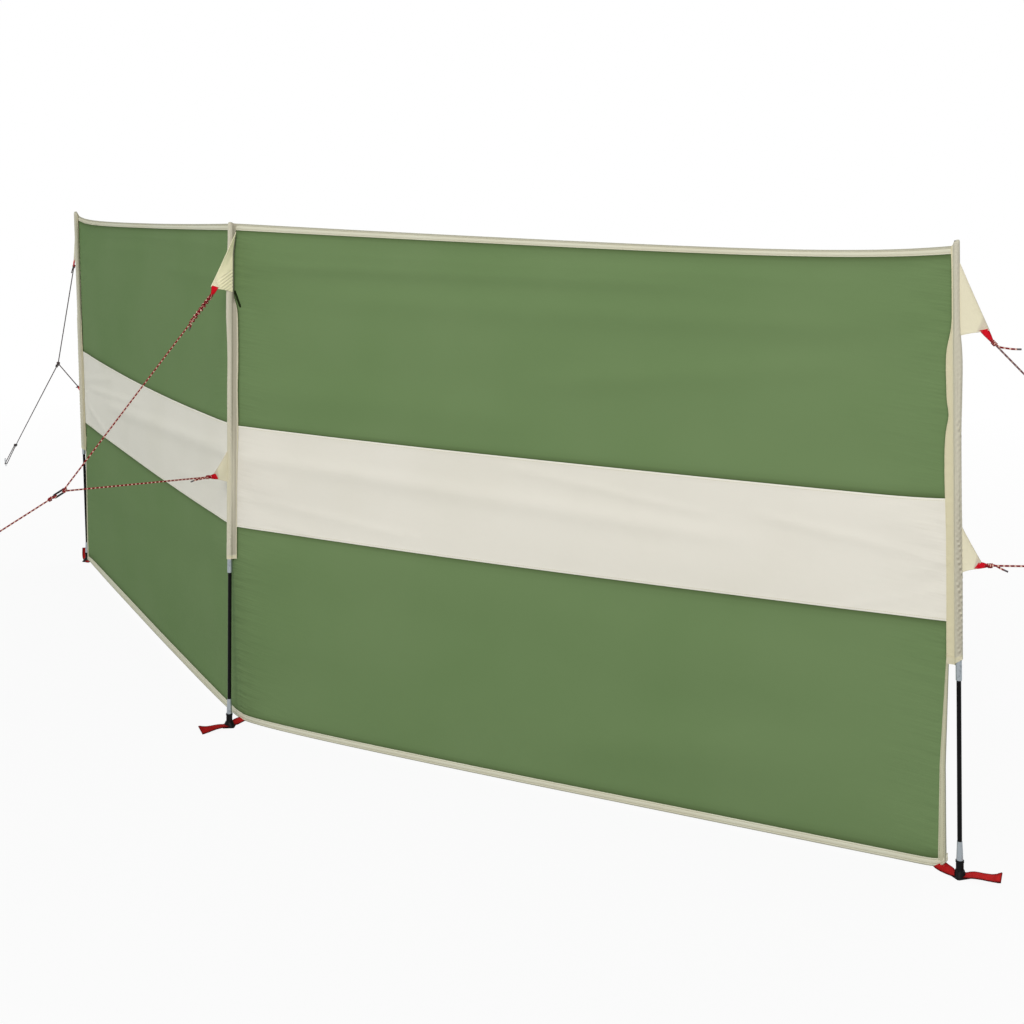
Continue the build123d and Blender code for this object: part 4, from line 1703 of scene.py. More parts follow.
@dataclass
class PoleSleeve:
    """The cloth sleeve of one pole, with its two gussets and their webbing loops."""

    stand: Stand
    bays: list[BaySurface]
    guy: GuyLayout
    wardrobe: Wardrobe
    needle: StitchTree
    ply: float = 0.0009
    rod_radius: float = 0.00475
    ferrule_radius: float = 0.00625
    ferrules: tuple[float, ...] = (0.434, 0.861)
    ferrule_half: float = 0.0375
    ferrule_blend: float = 0.006
    back_flange: float = 0.018
    flange_root: float = 0.0112
    flange_proud: float = 0.0028
    ring_pitch: float = 0.004
    crinkled_pitch: float = 0.0026
    crowns: tuple[float, float] = (0.014, 0.008)
    left_drop: float = 0.014
    mouth_slant: float = 0.0075
    slant_places: tuple[int, int] = (8, 30)
    mouth_fade: float = 0.06
    crown_lean: float = 0.003
    fold_depth: float = 0.0012
    crinkle_pitch: float = 0.0135
    crinkle_depth: float = 0.0017
    cross_pitch: float = 0.0093
    swell_pitch: float = 0.047
    arc_steps: int = 40
    flange_steps: int = 7
    back_stitch: float = 0.0025
    mouth_stitch: float = 0.009
    gusset_grid: tuple[int, int] = (48, 30)
    gusset_half: float = 0.0006
    gusset_hollow: float = 0.001
    gusset_belly: float = 0.0022
    gusset_ripple: float = 0.0016
    wrap_proud: float = 0.0012
    root_sink: float = 0.001
    rib_slope: float = 0.61
    rib_pitch: float = 0.0088
    rib_count: float = 7.5
    patch_from: float = 0.78
    patch_half: float = 0.0003
    tack_columns: int = 5
    tack_margin: int = 8
    loop_grid: tuple[int, int] = (15, 28)
    loop_sunk: float = 0.004
    loop_past: float = 0.006
    loop_gather: float = 0.70
    loop_half: float = 0.0017
    loop_swell: float = 0.0016
    loop_sway: float = 0.0012
    dark_strip_start: tuple[float, float] = (0.004, 1.122)
    dark_strip_run: tuple[float, float] = (0.019, -0.042)
    dark_strip_half: tuple[float, float] = (0.0024, 0.0012)
    dark_strip_faces: tuple[float, float] = (0.0022, 0.0008)

    @property
    def name(self) -> str:
        """Name of the pole in the nodes."""
        return self.stand.pole.value

    @property
    def is_middle(self) -> bool:
        """Whether this is the middle pole's sleeve."""
        return self.stand.pole is Pole.MIDDLE

    @property
    def shape(self) -> SleeveShape:
        """How this sleeve sits on its pole."""
        return SLEEVES[self.stand.pole]

    @property
    def bottom(self) -> float:
        """Height of the sleeve's open end."""
        return self.bays[0].sleeve_bottom - (self.left_drop if self.stand.pole is Pole.LEFT else 0.0)

    @property
    def top(self) -> float:
        """Height of the sleeve's peak up the pole."""
        return self.guy.pole_top + (0.011 if self.is_middle else 0.0005)

    @property
    def crown(self) -> float:
        """Height of the part that closes over the pole's end."""
        return self.crowns[0 if self.is_middle else 1]

    @property
    def pull_angle(self) -> float:
        """Angle at which the guy pulls on the sleeve."""
        return math.pi / 2 if self.is_middle else math.pi

    def sides(self) -> tuple[Array, Array]:
        """The ways along the cloth's face and to the windward side, square to the pole.

        Returns:
            Two unit vectors.
        """
        if self.is_middle:
            return np.array((1.0, 0.0, 0.0)), np.array((0.0, -1.0, 0.0))
        bay = self.bays[0]
        windward = np.cross(self.stand.axis, bay.way)
        if windward @ bay.inward > 0:
            windward = -windward
        return -bay.way, unit(windward)

    def core(self, rise: Array) -> Array:
        """Radius of the pole inside the sleeve, with its ferrules.

        Args:
            rise: Heights up the pole.

        Returns:
            Radii at those heights.
        """
        reach = self.ferrule_half + self.ferrule_blend
        near = [np.clip((reach - np.abs(rise - place)) / self.ferrule_blend, 0, 1) for place in self.ferrules]
        return self.rod_radius + (self.ferrule_radius - self.rod_radius) * np.maximum(*near)

    def crinkles(self, angle: Array, rise: Array) -> Array:
        """Slanting crinkles of the loose cloth, mostly about the pole's joints.

        Args:
            angle: Angles round the pole.
            rise: Heights up the pole.

        Returns:
            Depths at those places.
        """
        wander = 0.8 * np.sin(11 * rise) + 0.5 * np.sin(37 * rise)
        wave = np.sin(math.tau * rise / self.crinkle_pitch - 3.2 * angle + 3 * wander)
        cross = np.sin(math.tau * rise / self.cross_pitch + 2.4 * angle + 2 * wander)
        swell = 0.6 + 0.4 * np.sin(2.6 * angle + math.tau * rise / self.swell_pitch + wander)
        wave = (0.7 * wave + 0.5 * cross) * swell
        if self.is_middle:
            window = bell(rise - 0.80, 0.06) + bell(rise - 0.48, 0.05) + 0.25
        else:
            window = bell(rise - 0.58, 0.16) + 0.6 * bell(rise - 0.90, 0.03) + 0.15
        across = bell(angle - self.pull_angle + 0.9, 1.0)
        return self.crinkle_depth * wave * np.clip(window, 0, 1) * across

    def tube_radius(self, angle: Array, rise: Array) -> Array:
        """Distance of the sleeve's cloth from the pole's axis.

        Args:
            angle: Angles round the pole, from the cloth side towards the windward side.
            rise: Heights up the pole.

        Returns:
            Radii.
        """
        draw = np.random.RandomState(31 + len(self.name))
        girth, outer = self.shape.girth(rise), self.shape.outer(rise)
        radius = girth + (outer - girth) * bell(angle - self.pull_angle, 0.75)
        for _ in range(4):
            place = draw.uniform(0.2, 3.0)
            sway = 0.22 * np.sin(math.tau * rise / draw.uniform(0.3, 0.7) + draw.uniform(0, 6))
            grip = 0.55 + 0.45 * np.sin(math.tau * rise / draw.uniform(0.18, 0.45) + draw.uniform(0, 6))
            radius = radius - self.fold_depth * grip * bell(angle - place - sway, 0.26)
        radius = radius + self.crinkles(angle, rise)
        return np.maximum(radius, self.core(rise) + self.ply + 0.0003)

    def flange_line(self, bay: BaySurface, reach: Array, height: float, proud: float) -> Array:
        """Points of a flange at a height, kept under the cloth's top edge.

        Args:
            bay: The bay whose cloth the flange lies on.
            reach: Distances from the middle fold.
            height: Height of the ring.
            proud: Distance to the windward side.

        Returns:
            World points.
        """
        limit = bay.top.height(reach, bay.width) - 0.0015
        level = np.where(height > limit, limit + 0.02 * (height - limit), height)
        return bay.place(reach, level, proud)

    def arc_angles(self) -> Array:
        """Angles of the sleeve's tube from the front flange round to the other."""
        low, high = (-0.35, math.pi + 0.35) if self.is_middle else (-0.62, math.pi * 1.42)
        return np.linspace(low, high, self.arc_steps)

    def profile(self, rise: float) -> Array:
        """Outer line of the sleeve's section at a height, from one flange to the other.

        Args:
            rise: Height up the pole.

        Returns:
            World points.
        """
        along, windward = self.sides()
        closed = float(np.clip((rise - (self.top - self.crown)) / self.crown, 0, 1))
        centre = self.stand.foot + self.stand.axis * rise + self.stand.outward * self.crown_lean * closed**2
        height = centre[2]
        angles = self.arc_angles()
        shrink = math.sqrt(max(1 - 0.93 * closed**2, 0.02))
        radius = self.tube_radius(angles, np.full(angles.shape, rise)) * shrink
        beside, ahead = np.cos(angles)[:, None], np.sin(angles)[:, None]
        arc = centre + radius[:, None] * (beside * along + ahead * windward)
        far = float(self.shape.flange(np.array(rise)))
        near = min(self.flange_root, 0.8 * far + 0.001)
        steps = np.linspace(far, near, self.flange_steps)
        if self.is_middle:
            left, right = self.bays
            first = self.flange_line(right, steps, height, self.flange_proud)
            last = self.flange_line(left, steps[::-1], height, self.flange_proud)
        else:
            bay = self.bays[0]
            back = np.linspace(0.002, self.back_flange, self.flange_steps)
            first = self.flange_line(bay, bay.width - steps, height, self.flange_proud)
            last = self.flange_line(bay, bay.width - back, height, -self.flange_proud)
        return np.concatenate([first, arc, last])

    def shades(self, rise: Array) -> Array:
        """Tint of the sleeve's outer line: warm flanges and a greyer tube, with painted shade in its valleys
        and crinkles.

        Args:
            rise: Heights of the rings.

        Returns:
            Tints in rings and places.
        """
        angles = self.arc_angles()[None, :]
        level = rise[:, None]
        if self.is_middle:
            soft = bell(level - 0.64, 0.13)
            # Painted shade in the valley where the tube turns into its flange; less grey and warmer about
            # 0.64 m up.
            tube = (0.9 * bell(angles + 0.1, 0.5) - 0.06) * (1 - 0.6 * soft) - 0.35 * soft
        else:
            right = self.stand.pole is Pole.RIGHT
            low = np.clip((0.80 - level) / 0.12, 0, 1) if right else -0.6
            # On the right sleeve root paints shade in the same valley and the tube is greyer low down; the
            # left sleeve is warmer there.
            root = 0.55 if right else -0.3
            tube = 0.08 + root * bell(angles + 0.2, 0.4) + 0.35 * low * bell(angles - 2.0, 1.0)
        # Painted shade in the troughs of the crinkles.
        tube = tube - (0.15 if self.is_middle else 0.8) * self.crinkles(angles, level) / self.crinkle_depth
        edge, inner = FLANGE_TINTS[self.stand.pole]
        plain = np.broadcast_to(np.linspace(edge, inner, self.flange_steps), (len(rise), self.flange_steps))
        line = np.concatenate([plain, np.clip(tube, -1, 1) * np.ones_like(level), plain[:, ::-1]], axis=1)
        line[rise < self.bottom + 0.011] = -0.5
        return line

    def rings(self) -> tuple[Array, Array]:
        """Closed sections of the sleeve's cloth up the pole.

        Returns:
            Rings of points, and the heights of the rings.
        """
        pitch = self.crinkled_pitch if self.stand.pole is Pole.RIGHT else self.ring_pitch
        count = int((self.top - self.bottom) / pitch)
        even = np.linspace(self.bottom, self.top - self.crown, count)
        crown = self.top - self.crown * (1 - np.sin(np.linspace(0, math.pi / 2, 9)[1:]))
        rises = np.concatenate([even, crown])
        made = []
        places = np.arange(self.arc_steps + 2 * self.flange_steps)
        slant = np.interp(places, self.slant_places, (-1, 1)) * self.mouth_slant
        for rise in rises:
            outer = self.profile(float(rise))
            if not self.is_middle:
                fade = max(0.0, 1 - (rise - self.bottom) / self.mouth_fade)
                outer = outer + (slant * fade)[:, None] * self.stand.axis
            normal = unit_rows(np.cross(np.gradient(outer, axis=0), self.stand.axis))
            made.append(np.concatenate([outer, (outer - normal * self.ply)[::-1]]))
        return np.array(made), rises

    def build_sleeve(self) -> Object:
        """The sleeve and its stitches.

        Returns:
            The sleeve.
        """
        rings, rises = self.rings()
        middle = len(rises) // 4
        around = np.cumsum(np.linalg.norm(np.diff(rings[middle], axis=0, append=rings[middle][:1]), axis=1))
        uv = spread_uv(np.concatenate([[0], around]), rises[:, None])
        shade = self.shades(rises)
        draft = Draft()
        draft.add_tube(rings, uv, np.concatenate([shade, shade[:, ::-1]], axis=1))
        piece = draft.finish(f"{self.name}_sleeve_cloth", self.wardrobe["sleeve"])
        attach(piece, "sleeve_cloth", f"{self.name}_sleeve")
        rows = self.stitch_rows(rises)
        thread = self.wardrobe["thread"]
        stitches = self.needle.sew(f"{self.name}_sleeve_stitches", rows, thread, "sleeve_cloth")
        float(self.top - self.bottom)
        return piece

    def stitch_rows(self, rises: Array) -> list[Array]:
        """Rows of stitches down the flanges and round the sleeve's open end.

        Args:
            rises: Heights of the sleeve's rings.

        Returns:
            Points of each row.
        """
        rises = rises[rises < self.top - 0.04]
        heights = (self.stand.foot + self.stand.axis * rises[:, None])[:, 2]
        edge = np.maximum(self.shape.flange(rises) - 0.0018, 0.001)
        proud = self.flange_proud + 0.0001
        rows = []
        for bay in self.bays:
            rows.append(bay.place(edge if self.is_middle else bay.width - edge, heights, proud))
            if not self.is_middle:
                back = np.full(heights.shape, bay.width - self.back_flange + self.back_stitch)
                rows.append(bay.place(back, heights, -proud))
        rows.append(self.profile(self.bottom + self.mouth_stitch))
        return rows

    def gusset(self, corner: Corner, draft: Draft) -> list[Array]:
        """Add one gusset as a hemmed triangle that ends on its cut tip.

        Args:
            corner: Which gusset.
            draft: Draft that it is added to.

        Returns:
            Rows of the tack stitches at its tip.
        """
        shape = self.guy.gussets[corner]
        stand, guy = self.stand, self.guy
        tip = guy.tip(corner)
        edge = shape.cut_way(stand) * (guy.loop_width / 2)
        row_count, column_count = self.gusset_grid
        down = np.linspace(0, 1, row_count)[:, None]
        out = np.linspace(0, 1, column_count)
        root_rise = guy.pole_top - shape.drop - shape.root * down
        if shape.wrapped:
            root_way, root_out = self.sides()[0], self.shape.girth(root_rise) + self.wrap_proud
        else:
            root_way, root_out = stand.outward, self.shape.outer(root_rise) - self.root_sink
        root_out = root_out + shape.sweep * np.clip(1 - down / 0.4, 0, 1) ** 1.5
        root = stand.foot + root_out[..., None] * root_way + root_rise[..., None] * stand.axis
        end = tip + edge * (1 - 2 * down)[..., None]
        points = root + (end - root) * out[None, :, None]
        hollow = self.gusset_hollow * np.sin(math.pi * out)[None, :, None] * (2 * down - 1)[..., None]
        points = points + hollow * stand.axis * (np.abs(2 * down - 1) ** 3)[..., None]
        belly = self.gusset_belly * np.sin(math.pi * down) * np.sin(math.pi * out)
        belly = belly + self.gusset_ripple * np.sin(5 * down + 2 * out) * out * (1 - out)
        level = (points - stand.foot) @ stand.axis + self.rib_slope * ((points - stand.foot) @ stand.outward)
        above = (level - level[-1, 0]) / self.rib_pitch
        ribbed = np.clip(self.rib_count - above, 0, 1) * np.clip(above, 0, 1) * np.clip(3.4 - 4 * out, 0, 1)
        belly = belly + shape.ribs * np.cos(math.tau * above) * ribbed
        rim = np.maximum(bell(down - 0.02, 0.045), bell(down - 0.98, 0.045))
        patch = np.clip((out - self.patch_from) / 0.03, 0, 1) * np.ones_like(down)
        half = self.gusset_half + self.gusset_half * rim + self.patch_half * patch
        half = half * np.clip(0.4 + 30 * np.minimum(down, 1 - down), 0, 1)
        front = points + (belly + half)[..., None] * stand.aside
        back = points + (belly - half)[..., None] * stand.aside
        uv = spread_uv(out * shape.reach, down * shape.root)
        tint = 0.35 * patch + 0.3 * bell(down, 0.05) * np.ones_like(out)
        # Ribbed gussets take the warm colour, with painted shade in the troughs of the ribs.
        if shape.ribs:
            tint = tint - 0.9 + 0.9 * ribbed * np.clip(-np.cos(math.tau * above), 0, 1) ** 3
        draft.add_shell(front, back, uv, tint)
        span = np.s_[self.tack_margin:-self.tack_margin]
        columns = range(column_count - self.tack_columns, column_count)
        return [face[span, column] for face in (front, back) for column in columns]

    def build_gussets(self) -> Object:
        """Both gussets of the sleeve, with the tacks at their tips.

        Returns:
            The gussets as one piece.
        """
        draft = Draft()
        rows: list[Array] = []
        for corner in self.guy.gussets:
            rows += self.gusset(corner, draft)
        piece = draft.finish(f"{self.name}_gusset_panels", self.wardrobe["gusset"])
        self.needle.sew(
            f"{self.name}_gusset_tacks", rows, self.wardrobe["tack_thread"], "sleeve_cloth",
            pitch=0.0019, length=0.0026, width=0.0008,
        )
        return attach(piece, "sleeve_cloth", f"{self.name}_gussets")

    def build_loops(self) -> Object:
        """The folded webbing that runs from each cut tip to the cord's knot.

        Returns:
            Both loops as one piece.
        """
        draft = Draft()
        guy, aside = self.guy, self.stand.aside
        ring_count, point_count = self.loop_grid
        angles = np.linspace(0, math.tau, point_count, endpoint=False)
        shares = np.linspace(0, 1, ring_count)
        for corner in guy.gussets:
            way, length = guy.loop_way(corner), guy.gussets[corner].loop
            square = np.cross(way, aside)
            cut = guy.gussets[corner].cut_way(self.stand)
            start = guy.tip(corner) - way * self.loop_sunk
            rings = []
            for share in shares:
                draw_in = share**1.25
                across = unit(cut * (1 - share) + square * share)
                wide = (guy.loop_width / 2 - 0.0006) * (1 - self.loop_gather * draw_in)
                thick = self.loop_half + self.loop_swell * draw_in
                crease = 1 - 0.55 * share * np.abs(np.cos(angles)) ** 6
                sway = self.loop_sway * math.sin(3 * share)
                ring = (
                    start + way * (length + self.loop_past) * share
                    + (np.sign(np.cos(angles)) * np.abs(np.cos(angles)) ** 0.6 * wide)[:, None] * across
                    + (np.sin(angles) * thick * crease + sway)[:, None] * aside
                )
                rings.append(ring)
            turn = np.concatenate([angles, [math.tau]])
            half = np.cos(turn) * guy.loop_width / 2
            uv = spread_uv(half, (shares * length)[:, None])
            tint = np.broadcast_to(0.9 * np.abs(np.cos(angles)) ** 8, (len(shares), len(angles)))
            draft.add_tube(np.array(rings), uv, tint)
        piece = draft.finish(f"{self.name}_guy_webbing", self.wardrobe["loop"])
        return attach(piece, "red_webbing", f"{self.name}_guy_loops")

    def build_dark_strip(self) -> Object:
        """A thin dark green strip that lies on the cloth below the middle pole's upper gusset.

        Returns:
            The tape.
        """
        share = np.linspace(0, 1, 16)[:, None]
        across = np.linspace(-1, 1, 7)
        blunt = np.sqrt(np.clip(1 - np.clip((share - 0.85) / 0.15, 0, 1) ** 2 * 0.8, 0, 1))
        along, height = (
            start + run * share + half * across * blunt
            for start, run, half in zip(self.dark_strip_start, self.dark_strip_run, self.dark_strip_half)
        )
        bay = self.bays[1]
        uv = spread_uv(along, height)
        draft = Draft()
        draft.add_shell(*(bay.place(along, height, proud) for proud in self.dark_strip_faces), uv)
        piece = draft.finish("middle_dark_strip", self.wardrobe["dark_strip"])
        return attach(piece, "green_cloth")

    def build(self) -> None:
        """Make the sleeve, its gussets and loops."""
        self.build_sleeve()
        self.build_gussets()
        self.build_loops()
        if self.is_middle:
            self.build_dark_strip()


# Foot straps


@dataclass(frozen=True)
class StrapStation:
    """One place along a foot strap: distance out, height, roll, sideways shift and slant of its width."""

    out: float
    rise: float
    roll: float = 0.0
    shift: float = 0.0
    slant: float = 0.0


IN_THE_SLOT = ((-0.011, 0.0042), (0.0, 0.0040), (0.011, 0.0042))
STRAP_ROUTES = {
    Pole.LEFT: (
        (-0.044, 0.0130, -20.0, 0.0, -50.0), (-0.030, 0.0090, -18.0, 0.0, -25.0),
        (-0.018, 0.0058, -9.0),
    ) + IN_THE_SLOT + (
        (0.029, 0.0060, 6.0), (0.035, 0.0130, 10.0), (0.036, 0.0240, 14.0), (0.031, 0.0340, 10.0),
        (0.027, 0.0440, 4.0),
    ),
    Pole.MIDDLE: (
        (-0.043, 0.0088, -5.0, 0.0, -8.0), (-0.034, 0.0080, -8.0, 0.0, -4.0),
        (-0.025, 0.0068, -11.0), (-0.018, 0.0055, -10.0),
    ) + IN_THE_SLOT + (
        (0.020, 0.0062, -2.0), (0.030, 0.0078, -3.0), (0.048, 0.0092, -5.0),
        (0.064, 0.0098, -14.0), (0.076, 0.0112, -27.0), (0.087, 0.0130, -37.0),
    ),
    Pole.RIGHT: (
        (-0.0425, 0.0150, 27.0, 0.003, 72.0), (-0.035, 0.0120, 24.0, 0.002, 30.0),
        (-0.026, 0.0090, 20.0, 0.001, 8.0), (-0.016, 0.0066, 15.0),
    ) + IN_THE_SLOT + (
        (0.019, 0.0064, 6.0), (0.029, 0.0086, 7.0), (0.045, 0.0090, 5.0),
        (0.061, 0.0094, 8.0), (0.073, 0.0114, 16.0), (0.081, 0.0142, 24.0),
    ),
}


@dataclass
class FootStrap:
    """The webbing strap that runs from the hem's corner through the foot to a free tail."""

    stand: Stand
    wardrobe: Wardrobe
    needle: StitchTree
    width: float = 0.0246
    half_ply: float = 0.0007
    steps: int = 110
    across_steps: int = 17
    tail_fold: float = 0.009
    fold_step: float = 0.0008
    selvedge: float = 0.35
    edge_tint: float = 0.95
    end_tint: float = 0.75
    end_reach: float = 0.0012

    def centreline(self) -> tuple[Array, Array]:
        """Smooth line of the strap's middle and the way of its width.

        Returns:
            Points, and unit vectors across the strap.
        """
        stations = [StrapStation(*place) for place in STRAP_ROUTES[self.stand.pole]]
        route = [self.stand.spot(s.out, s.rise, s.shift) for s in stations]
        points = route_line(route, self.steps)
        out = (points - self.stand.foot) @ self.stand.outward
        near = np.linspace(0, len(stations) - 1, len(points))
        if self.stand.pole is not Pole.LEFT:
            near = np.interp(out, [s.out for s in stations], range(len(stations)))
        roll = np.interp(near, range(len(stations)), [math.radians(s.roll) for s in stations])[:, None]
        slant = np.interp(near, range(len(stations)), [math.radians(s.slant) for s in stations])[:, None]
        level = np.cos(slant) * self.stand.aside + np.sin(slant) * self.stand.outward
        return points, np.cos(roll) * level + np.sin(roll) * UP

    def build(self) -> Object:
        """The strap with thick selvedges and a doubled tail end.

        Returns:
            The strap.
        """
        points, across = self.centreline()
        normal = unit_rows(np.cross(across, np.gradient(points, axis=0)))
        share = np.linspace(-1, 1, self.across_steps)
        distance = run_along(points)
        tail = np.clip((distance - distance[-1] + self.tail_fold) / self.fold_step, 0, 1)[:, None]
        half = self.half_ply * (1 + self.selvedge * np.abs(share) ** 10)[None, :] * (1 + 0.8 * tail)
        middle = points[:, None] + (share * self.width / 2)[None, :, None] * across[:, None]
        front = middle + half[..., None] * normal[:, None]
        back = middle - half[..., None] * normal[:, None]
        uv = spread_uv(share * self.width / 2, distance[:, None])
        tail_end = bell(distance[:, None] - distance[-1], self.end_reach)
        tint = np.maximum(self.edge_tint * np.abs(share) ** 5, self.end_tint * tail_end)
        draft = Draft()
        draft.add_shell(front, back, uv, tint)
        name = f"{self.stand.pole.value}_foot_strap"
        piece = draft.finish(f"{name}_webbing", self.wardrobe["webbing"])
        row = int(np.argmin(np.abs(distance - distance[-1] + self.tail_fold * 0.6)))
        rows = [front[row, 1:-1], front[row - 3, 1:-1]]
        self.needle.sew(
            f"{name}_stitches", rows, self.wardrobe["red_thread"], "red_webbing", pitch=0.003, length=0.0024
        )
        return attach(piece, "red_webbing", name)


# Guys


def route_line(route: Sequence[Array], count: int) -> Array:
    """Even points on the smooth spline of a route.

    Args:
        route: Control points.
        count: Number of points to give.

    Returns:
        Points along the spline.
    """
    curve = bpy.data.curves.new("route", "CURVE")
    curve.dimensions = "3D"
    spline = curve.splines.new("NURBS")
    spline.points.add(len(route) - 1)
    for point, place in zip(spline.points, route):
        point.co = (*place, 1.0)
    spline.order_u = 3
    spline.use_endpoint_u = True
    spline.resolution_u = 16
    holder = bpy.data.objects.new("route", curve)
    bpy.context.scene.collection.objects.link(holder)
    mesh = bpy.data.meshes.new_from_object(holder.evaluated_get(bpy.context.evaluated_depsgraph_get()))
    line = np.array([v.co for v in mesh.vertices])
    bpy.data.objects.remove(holder)
    bpy.data.curves.remove(curve)
    bpy.data.meshes.remove(mesh)
    run = run_along(line)
    wanted = np.linspace(0, run[-1], count)
    return np.stack([np.interp(wanted, run, line[:, axis]) for axis in range(3)], axis=1)


@dataclass(frozen=True)
class Tail:
    """Free end of a bridle leg's cord: turns round the leg, then places along it, up from it and aside."""

    route: tuple[tuple[float, float, float], ...]
    turns: float = 0.0
    twisted: float = 0.0


TAILS = {
    (Pole.LEFT, Corner.UPPER): Tail(((0.004, 0.002, 0.003), (0.018, 0.0035, 0.003), (0.034, 0.004, 0.004))),
    (Pole.LEFT, Corner.LOWER): Tail(((0.004, -0.002, 0.003), (0.016, -0.004, 0.003), (0.030, -0.008, 0.002))),
    (Pole.MIDDLE, Corner.UPPER): Tail(((0.092, -0.006, 0.001), (0.100, -0.009, 0.001)), 3.5, 0.084),
    (Pole.MIDDLE, Corner.LOWER): Tail(
        ((0.003, -0.001, 0.002), (0.018, -0.0036, 0.0), (0.034, -0.004, 0.0), (0.046, -0.008, 0.0))
    ),
    (Pole.RIGHT, Corner.UPPER): Tail((
        (0.003, 0.001, 0.0), (0.010, 0.003, 0.001), (0.017, 0.0087, 0.002), (0.030, 0.0194, 0.003),
        (0.040, 0.0308, 0.003),
    )),
    (Pole.RIGHT, Corner.LOWER): Tail(
        ((0.003, 0.002, 0.001), (0.010, -0.002, 0.002), (0.018, -0.007, 0.002), (0.030, -0.012, 0.001))
    ),
}


@dataclass
class GuyLine:
    """The braided cord of one pole: two bridle legs, the line, its turn round the peg and the knots."""

    layout: GuyLayout
    wardrobe: Wardrobe
    radius: float = 0.0019
    sides: int = 12
    ring_pitch: float = 0.0018
    braid_pitch: float = 0.0042
    braid_depth: float = 0.07
    knot_turns: int = 3
    knot_length: float = 0.009
    wrap_radius: float = 0.0048
    ring_radius: float = 0.0049
    slider_distance: float = 0.36
    slider_length: float = 0.018
    knot_reach: float = 1.75
    noose_reach: float = 2.2
    leg_shift: float = 0.0021
    stop_short: float = 0.004
    faded_share: float = 0.65
    sealed_end: float = 0.009
    bar_half: float = 0.0018
    bar_turns: float = 2.0

    def tube(
        self, draft: Draft, route: Sequence[Array], bare_end: float = 0.0, faded: float = 0.0
    ) -> None:
        """Add a braided tube along a route.

        Args:
            draft: Draft that it is added to.
            route: Control points of the cord's line.
            bare_end: Length of the sealed grey end.
            faded: How far the whole length has gone grey.
        """
        length = float(np.linalg.norm(np.diff(np.array(route), axis=0), axis=1).sum())
        line = route_line(route, max(8, int(length / self.ring_pitch)))
        tangent = unit_rows(np.gradient(line, axis=0))
        side = unit(np.cross(tangent[0], UP if abs(tangent[0] @ UP) < 0.9 else np.array((1.0, 0.0, 0.0))))
        frames = []
        for way in tangent:
            side = unit(side - way * (side @ way))
            frames.append((side, np.cross(way, side)))
        first, second = (np.array(ways) for ways in zip(*frames))
        run = run_along(line)
        angle = np.linspace(0, math.tau, self.sides, endpoint=False)
        steep = math.tau * run[:, None] / self.braid_pitch
        braid = np.sin(3 * angle + steep) * np.sin(3 * angle - steep)
        radius = self.radius * (1 + self.braid_depth * braid)
        rings = (
            line[:, None] + (radius * np.cos(angle))[..., None] * first[:, None]
            + (radius * np.sin(angle))[..., None] * second[:, None]
        )
        turn = np.linspace(0, 1, self.sides + 1)
        uv = spread_uv(turn, run[:, None])
        tint = np.broadcast_to(np.where(run[:, None] > run[-1] - bare_end, 1.0, faded), rings.shape[:2])
        draft.add_tube(rings, uv, tint)

    def wraps(
        self, centre: Array, way: Array, turns: float, radius: float, length: float, start: float = 0.0
    ) -> list[Array]:
        """Control points of cord wound round a line.

        Args:
            centre: Start of the winding on its axis.
            way: Its axis.
            turns: Number of turns.
            radius: Radius at the cord's middle.
            length: Length along the axis.
            start: Angle at which the winding starts.

        Returns:
            Points of the helix.
        """
        side = unit(np.cross(way, self.layout.stand.aside))
        other = np.cross(way, side)
        steps = int(turns * 12) + 1
        made = []
        for step in range(steps):
            share = step / (steps - 1)
            angle = start + math.tau * turns * share
            turned = side * math.cos(angle) + other * math.sin(angle)
            made.append(centre + way * length * share + turned * radius)
        return made

    def wrap_bar(self, draft: Draft, bar: Array) -> None:
        """Add the cord's turns round a bar of the link.

        Args:
            draft: Draft that they are added to.
            bar: Centre of the turns.
        """
        plate = np.cross(self.layout.way, self.layout.stand.aside)
        start, length = bar - plate * self.bar_half, 2 * self.bar_half
        self.tube(draft, self.wraps(start, plate, self.bar_turns, self.wrap_radius, length))

    def leg(self, corner: Corner, draft: Draft) -> None:
        """Add one bridle leg with its knot, tail and the wrap on the link.

        Args:
            corner: Which leg.
            draft: Draft that it is added to.
        """
        layout = self.layout
        way = layout.leg_way(corner)
        across = np.cross(way, layout.stand.aside)
        nose = layout.nose(corner)
        bar = layout.link - layout.way * layout.link_bar
        shift = self.leg_shift if corner is Corner.UPPER else -self.leg_shift
        bar = bar + np.cross(layout.way, layout.stand.aside) * shift
        stop = bar - unit(bar - nose) * self.stop_short
        faded = self.faded_share if layout.stand.pole is Pole.RIGHT and corner is Corner.UPPER else 0.0
        self.tube(draft, [nose, nose + (stop - nose) / 3, nose + (stop - nose) * 2 / 3, stop], 0.0, faded)
        knot_reach, noose_reach = self.radius * self.knot_reach, self.radius * self.noose_reach
        self.tube(draft, self.wraps(nose + way * 0.001, way, self.knot_turns, knot_reach, self.knot_length))
        self.tube(draft, self.wraps(nose + way * 0.0005, across, 1.0, noose_reach, 0.001))
        knot = nose + way * self.knot_length
        free = TAILS[layout.stand.pole, corner]
        tail = [knot + way * a + across * u + layout.stand.aside * s for a, u, s in free.route]
        twisted: list[Array] = []
        if free.turns:
            twisted = self.wraps(knot, way, free.turns, noose_reach, free.twisted)
            self.tube(draft, self.wraps(knot, way, free.turns, noose_reach, free.twisted, math.pi))
        self.tube(draft, [knot - way * 0.003, *twisted, *tail], bare_end=self.sealed_end)
        self.wrap_bar(draft, bar)

